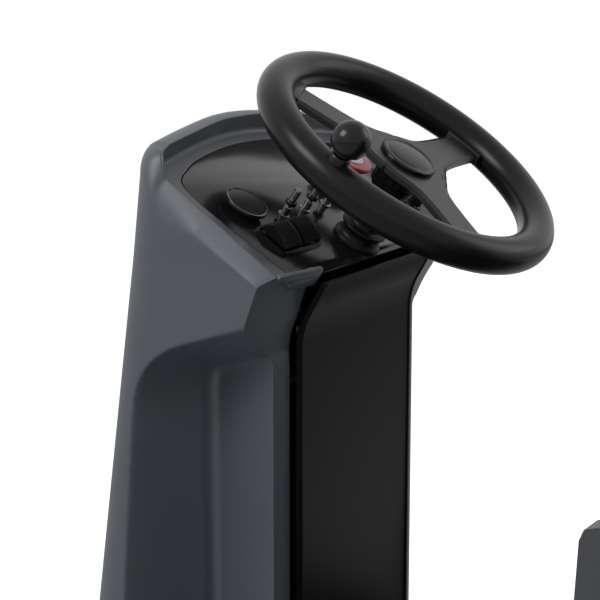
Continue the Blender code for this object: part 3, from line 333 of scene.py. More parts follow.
def polygon_gap(point, polygon):
    """Distance from a point to a polygon's outline, negative inside."""
    point = np.array(point)
    corners = np.array(polygon)
    after = np.roll(corners, -1, axis=0)
    run = after - corners
    share = np.clip(((point - corners) * run).sum(1) / (run**2).sum(1), 0, 1)
    gap = np.linalg.norm(corners + run * share[:, None] - point, axis=1).min()
    crossing = (corners[:, 1] > point[1]) != (after[:, 1] > point[1])
    slope = np.where(run[:, 1] == 0, 1e-12, run[:, 1])
    inside = (crossing & (point[0] < corners[
        :, 0,
    ] + (point[1] - corners[:, 1]) / slope * run[:, 0])).sum() % 2
    return -gap if inside else gap


# The recess: a pad that leans inwards, and the brim where the wall round it meets the side.
pad_x, pad_lean, crease_rise, fillet = half_width - 0.035, 0.33, 0.018, 0.022
foot = DECK_TOP + 0.060 - WHEEL_AT.z
pad_corners = [(0.060, -0.151), (-0.178, -0.222), (-0.176, foot + 0.050), (0.060, foot + 0.050)]
pad = softened(pad_corners, [0, 0.027, 0.015, 0], 6)
brim_corners = [(0.060, -0.111), (-0.218, -0.207), (-0.238, foot), (0.060, foot)]
brim = softened(brim_corners, [0, 0.064, 0.020, 0], 8)


def side_limit(y, z, half):
    """How far out the side may reach at a place, for the recess."""
    place = (y - WHEEL_AT.y, z - WHEEL_AT.z)
    from_brim = -polygon_gap(place, brim)
    if from_brim <= 0:
        return half + 0.004 - from_brim * 1.5
    from_pad = polygon_gap(place, pad)
    pad_at = pad_x + pad_lean * (place[0] + 0.062)
    if from_pad <= 0:
        return pad_at + crease_rise * (1.0 - min(-from_pad / fillet, 1.0)) ** 3.5
    share = from_pad / (from_pad + from_brim)
    crease_x = pad_at + crease_rise
    return crease_x + (half - crease_x) * (1.0 - (1.0 - share) ** 1.12)


def soft_least(a, b, radius):
    """The smaller of two values, with the crease between them rounded."""
    share = float(np.clip(0.5 + 0.5 * (b - a) / radius, 0, 1))
    return b + (a - b) * share - radius * share * (1 - share)


cowl_rise, cowl_level_from, side_lip, side_ledge = 0.022, 0.2045, 0.0045, 0.0035


def cowl_height(up_slope):
    """How far the shell's top edge stands above the dash, along its length."""
    return cowl_rise * float(smooth_step((up_slope - 0.138) / 0.034))


def top_level(x, y):
    """The height of the shell's top edge above a place in plan."""
    height = 0.0
    for _ in range(5):
        up_slope = (DASH.translation.y + height * COLUMN_AXIS.y - y) / DOWN_SLOPE.y
        up_slope = min(up_slope, cowl_level_from)
        height = cowl_height(up_slope)
    return float(dash_point(x, up_slope, height)[2])


SIDE, CORNER, FRONT = 130, 40, 26
seam_knots = (((0.1710, -0.0262), (0.1784, 0.0486), (0.1834, 0.0986), (0.1822, 0.118)),
              ((0.1822, 0.118), (0.1800, 0.132), (0.1725, 0.1435), (0.1600, 0.1512)),
              ((0.1600, 0.1512), (0.1200, 0.1660), (0.0760, 0.1751), (0.0300, 0.1806), (0.0, 0.1815)))
foot_knots = (((0.1945, -0.0225), (0.1968, 0.0500), (0.1970, 0.1380)),
              ((0.1970, 0.1380), (0.1955, 0.1550), (0.1860, 0.1670), (0.1680, 0.1735)),
              ((0.1680, 0.1735), (0.1040, 0.1870), (0.0400, 0.1965), (0.0, 0.1985)))
crest_knots = (((0.1998, -0.0206), (0.2000, 0.0500), (0.2000, 0.1420)),
               ((0.2000, 0.1420), (0.1985, 0.1560), (0.1900, 0.1700), (0.1680, 0.1790)),
               ((0.1680, 0.1790), (0.1040, 0.1905), (0.0400, 0.2010), (0.0, 0.2025)))


def half_curve(knots):
    """The left half of a line round the dash, with as many points as the plan."""
    side, bend, front = knots
    return np.vstack([spline(side, SIDE + 1)[:-1], spline(bend, CORNER + 1)[:-1], spline(front, FRONT)])


seam, wall_foot, crest = (half_curve(knots) for knots in (seam_knots, foot_knots, crest_knots))
bottom = DECK_TOP + 0.0004
round_it = [0, 0.6 * SIDE, SIDE, SIDE + CORNER, SIDE + CORNER + FRONT]
shoulders = np.interp(np.arange(SIDE + CORNER + FRONT), round_it, [0.020, 0.024, 0.052, 0.040, 0.020])
crowns = np.interp(np.arange(SIDE + CORNER + FRONT), round_it, [-0.009, -0.010, -0.014, 0.010, 0.014])
shares = np.concatenate([np.linspace(0, 0.60, 50, endpoint=False), np.linspace(0.60, 1.0, 150)])
steps = 5


def wall_column(index):
    """One upright line of the shell's side, from the deck to just under its rounded shoulder."""
    height = WHEEL_AT.z - 0.10
    for _ in range(6):
        x, y = outer_plan(height, SIDE, CORNER, FRONT)[index]
        height = top_level(x, y)
    column = []
    for share in shares:
        z = bottom + (height - shoulders[index] - bottom) * share
        x, y = outer_plan(z, SIDE, CORNER, FRONT)[index]
        column.append((soft_least(x, side_limit(y, z, x), 0.0012), y, z))
    return column, (x, y, height)


def over_the_top(below, edge, crest_at, foot_at, seam_at, crown):
    """The line over the shell's shoulder to its crest, down to the ledge round the dash and into its seam.
    The crown lifts or lowers the shoulder's bend from the crest's level."""
    sunk = (seam_at[0], seam_at[1], -0.012)
    crest_point = dash_point(*crest_at)
    below, edge = np.array(below), np.array(edge)
    edge[2] = crest_point[2] + crown
    line = []
    for step in range(1, 9):
        t = step / 8
        line.append((1 - t) ** 2 * below + 2 * t * (1 - t) * edge + t * t * crest_point)
    inside = [dash_point(*place) for place in (foot_at, seam_at, sunk)]
    return line[:-1] + softened([line[-2], crest_point, *inside], [0, 0.0012, 0.006, 0.0010, 0], steps)[1:]


sections = []
for index in range(SIDE + CORNER + FRONT):
    column, edge = wall_column(index)
    height = cowl_height(crest[index][1])
    lip = side_lip + (height - side_lip) * min(height / cowl_rise, 1.0)
    ledge = side_ledge * (1.0 - height / cowl_rise)
    crest_at = (*crest[index], max(lip, height))
    over = over_the_top(
        column[-1], edge, crest_at, (*wall_foot[index], ledge), (*seam[index], 0.0), crowns[index],
    )
    sections.append(column + over)

# Behind the side, a narrow strip turns in to the groove beside the rear panel.
first = sections[0]
second = sections[2]
turned_in = []
for point, beyond in zip(first, second):
    x, y, z = point
    back = y + back_fall * (x - groove_x)
    turned_in.append(softened([(groove_x, back - 0.014, z), (groove_x, back, z), point, beyond],
                              [0, 0.0012, 0.0016, 0], 4))
strips = [[line[k] for line in turned_in] for k in range(len(turned_in[0]) - 1)]
half = strips + sections[2:]
whole = half + [[(-x, y, z) for x, y, z in section] for section in reversed(half[:-1])]
rows, count = len(whole), len(whole[0])
console = piece(
    "console_tub", [point for section in whole for point in section], grid_faces(rows, count),
    shell_plastic, "chassis", ["console_shell"], 50.0,
)
thickness = console.modifiers.new("wall", "SOLIDIFY")
thickness.thickness = 0.003
thickness.offset = -1.0


# ---- Dash ---------------------------------------------------------------------------------------
# A flat plate of black satin plastic, laid in the shell's seam and screwed from below. The column
# and every control stand on it.

dash_plastic = moulded("dash satin black", (0.008, 0.008, 0.0082), (0.13, 0.17), 1500.0, 0.02, shine=0.30)


def plate(name, outline, low, high, edge, place, material, body, stands_for=(), steps=3):
    """A flat plate with its upper edge rounded, from its outline in local axes."""
    outline = [np.array(point, float) for point in outline]
    count = len(outline)
    middle = sum(outline) / count
    rows = [[(*point, low) for point in outline]]
    for step in range(steps + 1):
        turn = math.pi / 2 * step / steps
        inset = edge * (1 - math.cos(turn))
        row = []
        for i, point in enumerate(outline):
            run = outline[(i + 1) % count] - outline[i - 1]
            normal = np.array((run[1], -run[0])) / max(np.linalg.norm(run), 1e-9)
            if normal @ (point - middle) < 0:
                normal = -normal
            row.append((*(point - normal * inset), high - edge + edge * math.sin(turn)))
        rows.append(row)
    points = [place @ Vector(point) for row in rows for point in row]
    return piece(name, points, grid_faces(len(rows), count, True, True), material, body, stands_for)


inset_seam = [(x - 0.0007, up_slope - 0.0007 * (k > SIDE)) for k, (x, up_slope) in enumerate(seam)]
rear_line = [(0.1690, -0.0255), (0.1600, -0.0255), (0.1400, -0.0255), (0.1225, -0.0255), (0.1190, -0.0275)]
rear_line += [(0.1150, -0.0292), (0.0600, -0.0292), (0.0, -0.0292)]
half_line = [(x, -up_slope) for x, up_slope in list(reversed(rear_line))[:-1] + inset_seam]
dash_outline = half_line + [(-x, y) for x, y in reversed(half_line[1:-1])]
plate(
    "dash_plate", dash_outline, -0.0039, 0.0, 0.0008, DASH, dash_plastic, "chassis",
    ["dash_panel"], 2,
)


def lathe(profile, place, steps=48, ripple=None):
    """Points and faces of a turned shape from (radius, height) pairs.
    A ripple scales each radius by its angle and height."""
    points = []
    for radius, height in profile:
        for step in range(steps):
            angle = 2 * math.pi * step / steps
            reach = radius * (1.0 + ripple(angle, height)) if ripple else radius
            points.append(place @ Vector((reach * math.cos(angle), reach * math.sin(angle), height)))
    return points, grid_faces(len(profile), steps, True, True)


def lofted(rings, place=Matrix()):
    """Points and faces of a shape through closed rings of equal count, capped at both ends."""
    points = [place @ Vector(tuple(map(float, point))) for ring in rings for point in ring]
    return points, grid_faces(len(rings), len(rings[0]), True, True)


def slab(low, high, radius, place=Matrix(), steps=3):
    """Points and faces of a block with every edge rounded."""
    shape = bmesh.new()
    bmesh.ops.create_cube(shape, size=1.0)
    for vertex in shape.verts:
        vertex.co = Vector((low[k] + (high[k] - low[k]) * (vertex.co[k] + 0.5) for k in range(3)))
    bmesh.ops.bevel(shape, geom=shape.edges, offset=radius, segments=steps, profile=0.5, affect="EDGES")
    shape.verts.ensure_lookup_table()
    points = [place @ vertex.co for vertex in shape.verts]
    faces = [tuple(vertex.index for vertex in face.verts) for face in shape.faces]
    shape.free()
    return points, faces


def joined(*shapes):
    """Points and faces of several shapes as one."""
    points, faces = [], []
    for some_points, some_faces in shapes:
        base = len(points)
        points.extend(some_points)
        faces.extend(tuple(base + k for k in face) for face in some_faces)
    return points, faces


def part(name, shape, material, body, slot, stands_for=(), sharp=38.0):
    return piece(name, shape[0], shape[1], material, body, stands_for, sharp)


def carried(material, *nodes, edge=0.0):
    """Gives CAD nodes a finish, and softens their edges where they have room for it."""
    for name in nodes:
        node = frame["nodes"][name]
        node.data.materials.clear()
        node.data.materials.append(material)
        if edge:
            bevel = node.modifiers.new("soft edges", "BEVEL")
            bevel.width = edge
            bevel.segments = 2
            bevel.limit_method = "ANGLE"
            bevel.angle_limit = math.radians(35)
            bevel.use_clamp_overlap = True


# ---- Rear panel ---------------------------------------------------------------------------------
# The driver's side of the console is closed by one sheet of textured black ABS, clipped into the
# shell. It leans back at its top, and a thin bead runs down inside each edge.

black_plastic = moulded("black plastic", (0.006, 0.006, 0.006), (0.34, 0.42), 1400.0, 0.05, shine=0.05)
panel_low, panel_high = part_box("console_rear_panel")
panel_foot = panel_low.z - WHEEL_AT.z
bent = softened([(-0.030, -0.1215), (-0.0617, -0.1765), (-0.0617, panel_foot)], [0, 0.022, 0], 16)
panel_half = panel_high.x
across = [(panel_half, 0.004), (panel_half, 0.0010), (panel_half - 0.0010, 0.0), (panel_half - 0.0042, 0.0)]
for step in range(7):
    turn = math.pi * step / 6
    across.append((panel_half - 0.0062 + 0.0018 * math.cos(turn), -0.0014 * math.sin(turn)))
across += [(panel_half - 0.0095, 0.0), (0.06, 0.0)]
across = across + [(-x, sunk) for x, sunk in reversed(across)]
rows = []
for k, (y, z) in enumerate(bent):
    before, after = bent[max(k - 1, 0)], bent[min(k + 1, len(bent) - 1)]
    run = np.array((after[0] - before[0], after[1] - before[1]))
    inward = np.array((run[1], -run[0])) / np.linalg.norm(run)
    rows.append([(
        x, WHEEL_AT.y + y + inward[0] * sunk, WHEEL_AT.z + z + inward[1] * sunk,
    ) for x, sunk in across])
panel = piece(
    "rear_panel", [point for row in rows for point in row], grid_faces(len(rows), len(across)),
    black_plastic, "chassis", ["console_rear_panel"], 50.0,
)
wall = panel.modifiers.new("wall", "SOLIDIFY")
wall.thickness = 0.0025
wall.offset = -1.0


# ---- Column boot --------------------------------------------------------------------------------
# A soft black rubber collar where the steering column leaves the dash: a wide foot, a rolled
# flange and a funnel that the shaft stands in.

rubber = moulded("boot rubber", (0.005, 0.005, 0.005), (0.30, 0.42), 1200.0, 0.08, shine=0.12)
boot_line = [(0.0285, 0.0004), (0.0287, 0.0030), (0.0278, 0.0048), (0.0258, 0.0062), (0.0243, 0.0084)]
boot_line += [(0.0236, 0.0120), (0.0238, 0.0150), (0.0250, 0.0166), (0.0266, 0.0172), (0.0274, 0.0184)]
boot_line += [(0.0274, 0.0200), (0.0266, 0.0212), (0.0248, 0.0216), (0.0216, 0.0220), (0.0196, 0.0236)]
boot_line += [(0.0186, 0.0262), (0.0181, 0.0300), (0.0182, 0.0330), (0.0176, 0.0340), (0.0160, 0.0338)]
boot_line += [(0.0140, 0.0316), (0.0124, 0.0270), (0.0118, 0.0200), (0.0118, 0.0010)]
part("boot", lathe(boot_line, DASH, 64), rubber, "chassis", "rubber", ["column_boot"], 50.0)


# ---- Switches on the dash -----------------------------------------------------------------------
# A round black cover on a stem, a red mushroom stop button with a white label disc, three bright
# toggles with dark collars, two rocking paddles with ridges under the thumb, and a fluted knob.

gloss_black = moulded("gloss black", (0.006, 0.006, 0.0065), (0.18, 0.26), 1500.0, 0.02, shine=0.24)
bright = moulded("bright plating", (0.22, 0.22, 0.225), (0.30, 0.38), 1500.0, 0.03)
bright.node_tree.nodes["Principled BSDF"].inputs["Metallic"].default_value = 1.0
stop_red = moulded("stop red", (0.42, 0.040, 0.046), (0.30, 0.38), 1400.0, 0.03, 0.06)
label_white = moulded("label white", (0.72, 0.72, 0.73), (0.40, 0.50), 1400.0, 0.02, 0.03)
pale_grey = moulded("pale grey plastic", (0.36, 0.36, 0.37), (0.38, 0.46), 1400.0, 0.04, 0.06)

cover_line = [(0.0080, -0.0060), (0.0080, 0.0078), (0.0225, 0.0080), (0.0246, 0.0084), (0.0255, 0.0094)]
cover_line += [(0.0255, 0.0122), (0.0252, 0.0128), (0.0246, 0.0130), (0.0236, 0.0127), (0.0231, 0.0124)]
cover_line += [(0.0228, 0.0123), (0.0220, 0.0123), (0.0, 0.0123)]
part(
    "round_cover", lathe(cover_line, on_dash(0.132, 0.082), 72), dash_plastic, "round_switch", "gloss_black",
    ["round_button"],
)

stop_line = [(0.0105, 0.0085), (0.0105, 0.0195), (0.0215, 0.0215), (0.0252, 0.0236), (0.0264, 0.0250)]
stop_line += [
    (0.0267, 0.0262), (0.0267, 0.0294), (0.0263, 0.0301), (0.0256, 0.0304), (0.0248, 0.0305), (0.0, 0.0307),
]
part(
    "stop_head", lathe(
        stop_line, on_dash(-0.100, 0.096), 64,
    ), stop_red, "stop_switch", "red", ["stop_button"],
)
disc_line = [(0.0148, 0.0300), (0.0148, 0.0313), (0.0144, 0.0316), (0.0140, 0.0317), (0.0, 0.0317)]
part("stop_label", lathe(disc_line, on_dash(-0.100, 0.096), 48), label_white, "stop_switch", "red")
ring_line = [(0.0054, 0.0312), (0.0054, 0.0319), (0.0042, 0.0319), (0.0042, 0.0312)]
mark = lathe(ring_line, on_dash(-0.100, 0.096), 32)
part("stop_mark", mark, stop_red, "stop_switch", "red")
carried(pale_grey, "stop_collar", edge=0.0006)

for number, x in ((1, 0.0735), (2, 0.0280), (3, -0.0170)):
    at = on_dash(x, 0.0615)
    bush = [(0.0068, 0.0003), (0.0068, 0.0016), (0.0058, 0.0022), (0.0047, 0.0024), (0.0047, 0.0118)]
    bush += [(0.0042, 0.0124), (0.0032, 0.0124), (0.0030, 0.0080), (0.0, 0.0080)]
    part(
        f"toggle_socket_{number}", lathe(bush, at, 32), bright, "chassis", "bright",
        [f"toggle_bush_{number}"],
    )
    stem = [(0.0026, 0.0088), (0.0026, 0.0155), (0.0044, 0.0160)]
    skirt = [
        (0.0062, 0.0156), (0.0068, 0.0162), (0.0068, 0.0200), (0.0062, 0.0208), (0.0040, 0.0212),
        (0.0, 0.0212),
    ]
    tip = [
        (0.0044, 0.0208), (0.0042, 0.0230), (0.0040, 0.0270), (0.0044, 0.0336), (0.0042, 0.0354),
        (0.0034, 0.0360),
    ]
    tip += [(0.0030, 0.0361), (0.0, 0.0361)]
    part(
        f"toggle_bat_{number}", joined(lathe(stem, at, 24), lathe(tip, at, 28)), bright,
        f"toggle_{number}", "bright", [f"toggle_lever_{number}"],
    )
    part(f"toggle_skirt_{number}", lathe(skirt, at, 28), gloss_black, f"toggle_{number}", "gloss_black")

paddle_line = [(-0.0100, 0.0066), (-0.0470, 0.0066), (-0.0470, 0.0108), (-0.0440, 0.0140), (-0.0400, 0.0180)]
paddle_line += [
    (-0.0372, 0.0198), (-0.0350, 0.0198), (-0.0300, 0.0188), (-0.0245, 0.0174), (-0.0170, 0.0140),
]
paddle_line += [(-0.0100, 0.0102)]
for number, x in ((1, 0.1285), (2, 0.0890)):
    half = 0.0172
    spans = [-half, -half + 0.0012]
    for step in range(5):
        middle = -0.0100 + 0.0050 * step
        spans += [middle - 0.0017, middle - 0.0009, middle + 0.0009, middle + 0.0017]
    spans += [half - 0.0012, half]
    rings = []
    for k, across_at in enumerate(spans):
        ridge = 0.0 if k in (0, len(spans) - 1) or (k - 2) % 4 in (1, 2) else 0.0009
        drop = 0.0012 if k in (0, len(spans) - 1) else ridge
        rings.append([(x + across_at, y, max(up - drop * (up > 0.009), 0.0066)) for y, up in paddle_line])
    part(
        f"paddle_pad_{number}", lofted(rings, DASH), black_plastic, f"paddle_{number}", "black_plastic",
        [f"paddle_switch_{number}"], 28.0,
    )
carried(gloss_black, "paddle_frame", edge=0.0008)

flutes = 14
knob_line = [(0.0112, 0.0004), (0.0112, 0.0036), (0.0106, 0.0046), (0.0098, 0.0056), (0.0092, 0.0110)]
knob_line += [(0.0086, 0.0170), (0.0082, 0.0210), (0.0076, 0.0224), (0.0064, 0.0228), (0.0, 0.0228)]
part(
    "speed_dial",
    lathe(
        knob_line, on_dash(-0.170, 0.024), flutes * 6,
        lambda angle, height: (
            -0.10 * (0.0056 <= height < 0.0227) * (0.5 + 0.5 * math.cos(flutes * angle)) ** 0.6
        ),
    ),
    gloss_black, "speed_control", "gloss_black", ["speed_knob"], 32.0,
)


# ---- Steering wheel -----------------------------------------------------------------------------
# A thick rim of soft black polyurethane on three flat spokes. Each spoke is a pressed plate with
# bevelled edges that spreads into the hub, and a small sleeve holds it to the rim.

RIM, TUBE = 0.165, 0.0205
rim_rubber = moulded("rim polyurethane", (0.0060, 0.0060, 0.0062), (0.24, 0.32), 1600.0, 0.05, shine=0.16)
around, section = 160, 40
points = []
for k in range(around):
    turn = 2 * math.pi * k / around
    for j in range(section):
        bend = 2 * math.pi * j / section
        reach = RIM + TUBE * math.cos(bend)
        points.append(WHEEL @ Vector((
            reach * math.cos(turn), reach * math.sin(turn), TUBE * math.sin(bend),
        )))
faces = []
for k in range(around):
    for j in range(section):
        a, b = (k + 1) % around, (j + 1) % section
        faces.append((k * section + j, a * section + j, a * section + b, k * section + b))
piece("rim_grip", points, faces, rim_rubber, "steering_wheel", ["steering_rim"])

spoke_plastic = moulded("spoke satin black", (0.008, 0.008, 0.0083), (0.24, 0.32), 1500.0, 0.04, shine=0.26)
widths = [
    (0.020, 0.046), (0.034, 0.0400), (0.042, 0.0335), (0.050, 0.0288), (0.060, 0.0254), (0.072, 0.0236),
]
widths += [(0.090, 0.0226), (0.110, 0.0222), (0.1300, 0.0222), (0.1470, 0.0224)]
reaches = np.linspace(0.020, 0.147, 44)
spokes = []
for degrees in (180.0, 292.0, 68.0):
    turned_to = WHEEL @ Matrix.Rotation(math.radians(degrees), 4, "Z")
    rings = []
    for reach in reaches:
        half = float(np.interp(reach, *zip(*widths)))
        half = 0.5 * half + 0.25 * sum(float(np.interp(reach + off, *zip(*widths))) for off in (
            -0.004, 0.004,
        ))
        band = 0.0050
        low, knee, top = -0.0088, -0.0026, -0.0002
        flat = half - band
        ring = [
            (reach, -half + 0.001, low), (reach, -half, low + 0.001), (reach, -half, knee),
            (reach, -flat, top),
        ]
        ring += [
            (reach, flat, top), (reach, half, knee), (reach, half, low + 0.001), (reach, half - 0.001, low),
        ]
        rings.append(ring)
    spokes.append(lofted(rings, turned_to))
    spokes.append(slab((0.1365, -0.0250, -0.0112), (0.1490, 0.0250, 0.0030), 0.0022, turned_to))
hub_line = [
    (0.0440, -0.0090), (0.0468, -0.0080), (0.0480, -0.0050), (0.0478, -0.0026), (0.0440, 0.0), (0.0, 0.0001),
]
hub_line.insert(0, (0.0, -0.0090))
spokes.append(lathe(hub_line, WHEEL, 96))
part(
    "spokes", joined(*spokes), spoke_plastic, "steering_wheel", "gloss_black", ["spoke_plate"], 24.0,
)
cap_line = [
    (0.0330, 0.0003), (0.0332, 0.0030), (0.0326, 0.0044), (0.0312, 0.0052), (0.0292, 0.0053),
    (0.0284, 0.0047),
]
cap_line += [
    (0.0276, 0.0046), (0.0262, 0.0052), (0.0236, 0.0059), (0.0180, 0.0067), (0.0100, 0.0073), (0.0, 0.0075),
]
part(
    "centre_cap", lathe(
        cap_line, WHEEL, 96,
    ), gloss_black, "steering_wheel", "gloss_black", ["hub_cap"], 60.0,
)
collar_line = [(0.0150, -0.0433), (0.0210, -0.0433), (0.0224, -0.0420), (0.0226, -0.0386), (0.0250, -0.0378)]
collar_line += [
    (0.0258, -0.0364), (0.0258, -0.0310), (0.0244, -0.0304), (0.0244, -0.0285), (0.0258, -0.0279),
]
collar_line += [
    (0.0260, -0.0140), (0.0270, -0.0126), (0.0296, -0.0108), (0.0300, -0.0096), (0.0270, -0.0093),
    (0.0115, -0.0093),
]
collar_line += [(0.0113, -0.0300), (0.0113, -0.0430)]
part(
    "hub_boss",
    lathe(
        collar_line, WHEEL, 96,
        lambda angle, height: -0.045 * (-0.0285 < height < -0.0139) * (math.cos(12 * angle) > 0.2),
    ),
    black_plastic, "steering_wheel", "gloss_black", ["hub_collar"], 30.0,
)
carried(gloss_black, "steering_shaft", "column_tube")


# ---- Spinner knob -------------------------------------------------------------------------------
# A hard black ball that turns freely on a short post, for steering with one hand.

spin = math.radians(-1.4)
post_at = WHEEL @ Matrix.Translation((RIM * math.cos(spin), RIM * math.sin(spin), 0.0))
post_line = [
    (0.0118, 0.0170), (0.0118, 0.0210), (0.0116, 0.0245), (0.0108, 0.0256), (0.0090, 0.0262),
    (0.0062, 0.0266),
]
post_line += [(0.0060, 0.0470), (0.0, 0.0471)]
part(
    "spinner_post", lathe(
        post_line, post_at, 40,
    ), gloss_black, "steering_wheel", "gloss_black", ["knob_post"],
)
ball_line = [(0.0064, 0.0278), (0.0112, 0.0278), (0.0120, 0.0284), (0.0122, 0.0296)]
ball_centre, ball = 0.0451, 0.0210
for step in range(3, 25):
    angle = -math.pi / 2 + math.pi * step / 24
    if ball_centre + ball * math.sin(angle) > 0.0310:
        ball_line.append((ball * math.cos(angle), ball_centre + ball * math.sin(angle)))
ball_line.append((0.0, ball_centre + ball))
part(
    "spinner_ball", lathe(ball_line, post_at, 56), gloss_black, "spinner", "gloss_black", ["spinner_knob"],
)


# ---- Column and steering gear -------------------------------------------------------------------
# Inside the console, a bright shaft runs down from the wheel to a chain that turns the fork. Its
# stand is folded sheet, painted grey, and the chain and shafts are oiled steel.

steel = moulded("machined steel", (0.36, 0.36, 0.37), (0.28, 0.42), 500.0, 0.10, 0.25)
steel.node_tree.nodes["Principled BSDF"].inputs["Metallic"].default_value = 1.0
painted = moulded("grey paint", (0.085, 0.088, 0.092), (0.36, 0.50), 420.0, 0.12, 0.18)
carried(painted, "steering_stand", edge=0.0010)
carried(steel, "intermediate_shaft", "steering_chain")
carried(painted, "front_fork", edge=0.0015)


# ---- Deck, mat, bumper and pedals ---------------------------------------------------------------
# The driver stands his feet on a black moulded deck under a studded rubber mat. The bumper is the
# shell's own plastic, and both pedals are steel plates with ribbed rubber pads.

deck_plastic = moulded("deck plastic", (0.018, 0.018, 0.019), (0.50, 0.62), 700.0, 0.22)
carried(deck_plastic, "floor_deck", edge=0.0012)
carried(shell_plastic, "front_bumper", edge=0.003)


def patterned(name, base, size, height, texture, band=0.5):
    """A rubber with raised studs on a square grid, or raised ribs along one way."""
    material, tree, shader = new_material(name)
    textured(material, base, tuple(part * 0.7 for part in base), (0.52, 0.68), 900.0, 0.15)
    grain_bump = next(node for node in tree.nodes if node.type == "BUMP")
    where = next(node for node in tree.nodes if node.type == "TEX_COORD")
    shape = tree.nodes.new(texture)
    if texture == "ShaderNodeTexVoronoi":
        shape.inputs["Randomness"].default_value = 0.0
        shape.inputs["Scale"].default_value = 1.0 / size
        out = shape.outputs["Distance"]
    else:
        shape.bands_direction = "Y"
        shape.inputs["Scale"].default_value = 0.314 / size
        out = shape.outputs["Fac"]
    tree.links.new(where.outputs["Object"], shape.inputs["Vector"])
    edge = tree.nodes.new("ShaderNodeMapRange")
    edge.inputs["From Min"].default_value = band + 0.06
    edge.inputs["From Max"].default_value = band - 0.06
    tree.links.new(out, edge.inputs["Value"])
    studs = tree.nodes.new("ShaderNodeBump")
    studs.inputs["Distance"].default_value = height
    studs.inputs["Strength"].default_value = 0.9
    tree.links.new(edge.outputs["Result"], studs.inputs["Height"])
    tree.links.new(grain_bump.outputs["Normal"], studs.inputs["Normal"])
    tree.links.new(studs.outputs["Normal"], shader.inputs["Normal"])
    return material


mat_rubber = patterned("studded mat", (0.020, 0.020, 0.020), 0.022, 0.0015, "ShaderNodeTexVoronoi", 0.32)
ribbed_rubber = patterned("ribbed pedal rubber", (0.018, 0.018, 0.018), 0.012, 0.0015, "ShaderNodeTexWave")
carried(mat_rubber, "floor_mat")
carried(ribbed_rubber, "accelerator_pedal", "brake_pedal")


# ---- Wheels -------------------------------------------------------------------------------------
# Three solid rubber tyres on painted hubs, with grooves round the tread and short bars cut into
# each shoulder.

tyre_rubber = moulded("tyre rubber", (0.017, 0.017, 0.017), (0.55, 0.72), 600.0, 0.30, 0.25)


def tyre(name, joint, body, radius, half, rim_radius, node):
    """One tyre about its rolling axis, with two grooves and its shoulders cut into bars."""
    at = Matrix.Translation(joints[joint]["pos_m"]) @ Matrix.Rotation(math.pi / 2, 4, "Y")
    side = [(rim_radius, half - 0.006), (radius - 0.027, half - 0.0005), (radius - 0.022, half)]
    side += [(radius - 0.012, half - 0.003), (radius - 0.004, half - 0.009), (radius - 0.0004, half - 0.014)]
    side += [(radius, half - 0.016), (radius, 0.0085), (radius - 0.004, 0.0078), (radius - 0.004, 0.0052)]
    side.append((radius, 0.0045))
    outline = side + [(reach, -height) for reach, height in reversed(side)]

    def bars(angle, height):
        return -0.022 * (math.cos(30 * angle) > 0.55) * (half - 0.0165 < abs(height) < half - 0.008)

    shape = lathe(outline, at, 180, bars)
    count = len(outline)
    bore = [(step, (step + 1) % 180) for step in range(180)]
    last = (count - 1) * 180
    faces = shape[1][:-2] + [(a, b, last + b, last + a) for a, b in bore]
    part(name, (shape[0], faces), tyre_rubber, body, "tyre", [node], 30.0)


tyre("front_tread", "front_wheel_roll", "front_wheel", 0.115, 0.035, 0.0715, "front_tyre")
tyre("rear_left_tread", "rear_left_roll", "rear_wheel_left", 0.130, 0.035, 0.0808, "rear_left_tyre")
tyre("rear_right_tread", "rear_right_roll", "rear_wheel_right", 0.130, 0.035, 0.0808, "rear_right_tyre")
carried(painted, "front_hub", "rear_left_hub", "rear_right_hub", edge=0.0010)


# ---- Frame and main brush -----------------------------------------------------------------------
# A welded frame of painted steel tube. Between its rails a roller brush hangs from a swinging arm:
# a grey tube with rows of stiff black bristles set in a spiral.

carried(painted, "main_frame", "main_brush_arm", edge=0.0015)
carried(painted, "left_brush_arm", "right_brush_arm", edge=0.0015)
core_plastic = moulded("brush core plastic", (0.10, 0.10, 0.105), (0.42, 0.52), 800.0, 0.10)
carried(core_plastic, "main_brush_core")
bristle = moulded("nylon bristle", (0.016, 0.016, 0.017), (0.40, 0.58), 300.0, 0.20, 0.35)
chance = random.Random(7)


def strand(root, tip, wide, points, faces):
    """Adds one thin tapered bristle bundle."""
    along = (tip - root).normalized()
    aside = along.orthogonal().normalized()
    third = Matrix.Rotation(2 * math.pi / 3, 3, along)
    base = len(points)
    for place, width in ((root, wide), (tip, wide * 0.6)):
        offset = aside * width
        for _ in range(3):
            points.append(place + offset)
            offset = third @ offset
    for k in range(3):
        m = (k + 1) % 3
        faces.append((base + k, base + m, base + 3 + m, base + 3 + k))
    faces += [(base, base + 2, base + 1), (base + 3, base + 4, base + 5)]


brush_at = Vector(joints["main_brush_spin"]["pos_m"])
points, faces = [], []
for row in range(10):
    for column in range(40):
        x = -0.250 + 0.500 * (column + 0.5) / 40
        angle = 2 * math.pi * row / 10 + 2.4 * x
        for _ in range(5):
            lean = angle + chance.uniform(-0.09, 0.09)
            shift = chance.uniform(-0.004, 0.004)
            out = Vector((0.0, math.cos(angle), math.sin(angle)))
            far = Vector((0.0, math.cos(lean), math.sin(lean)))
            root = brush_at + out * 0.0455 + Vector((x, 0, 0))
            tip = brush_at + far * (0.1360 - chance.uniform(0, 0.002)) + Vector((
                min(max(x + shift, -0.253), 0.253), 0, 0,
            ))
            strand(root, tip, 0.0011, points, faces)
piece("roller_bristles", points, faces, bristle, "main_brush", ["main_brush_bristles"])


# ---- Side brushes -------------------------------------------------------------------------------
# A round brush at each front corner: a moulded disc with a ring of bristles that splay out to the
# floor.

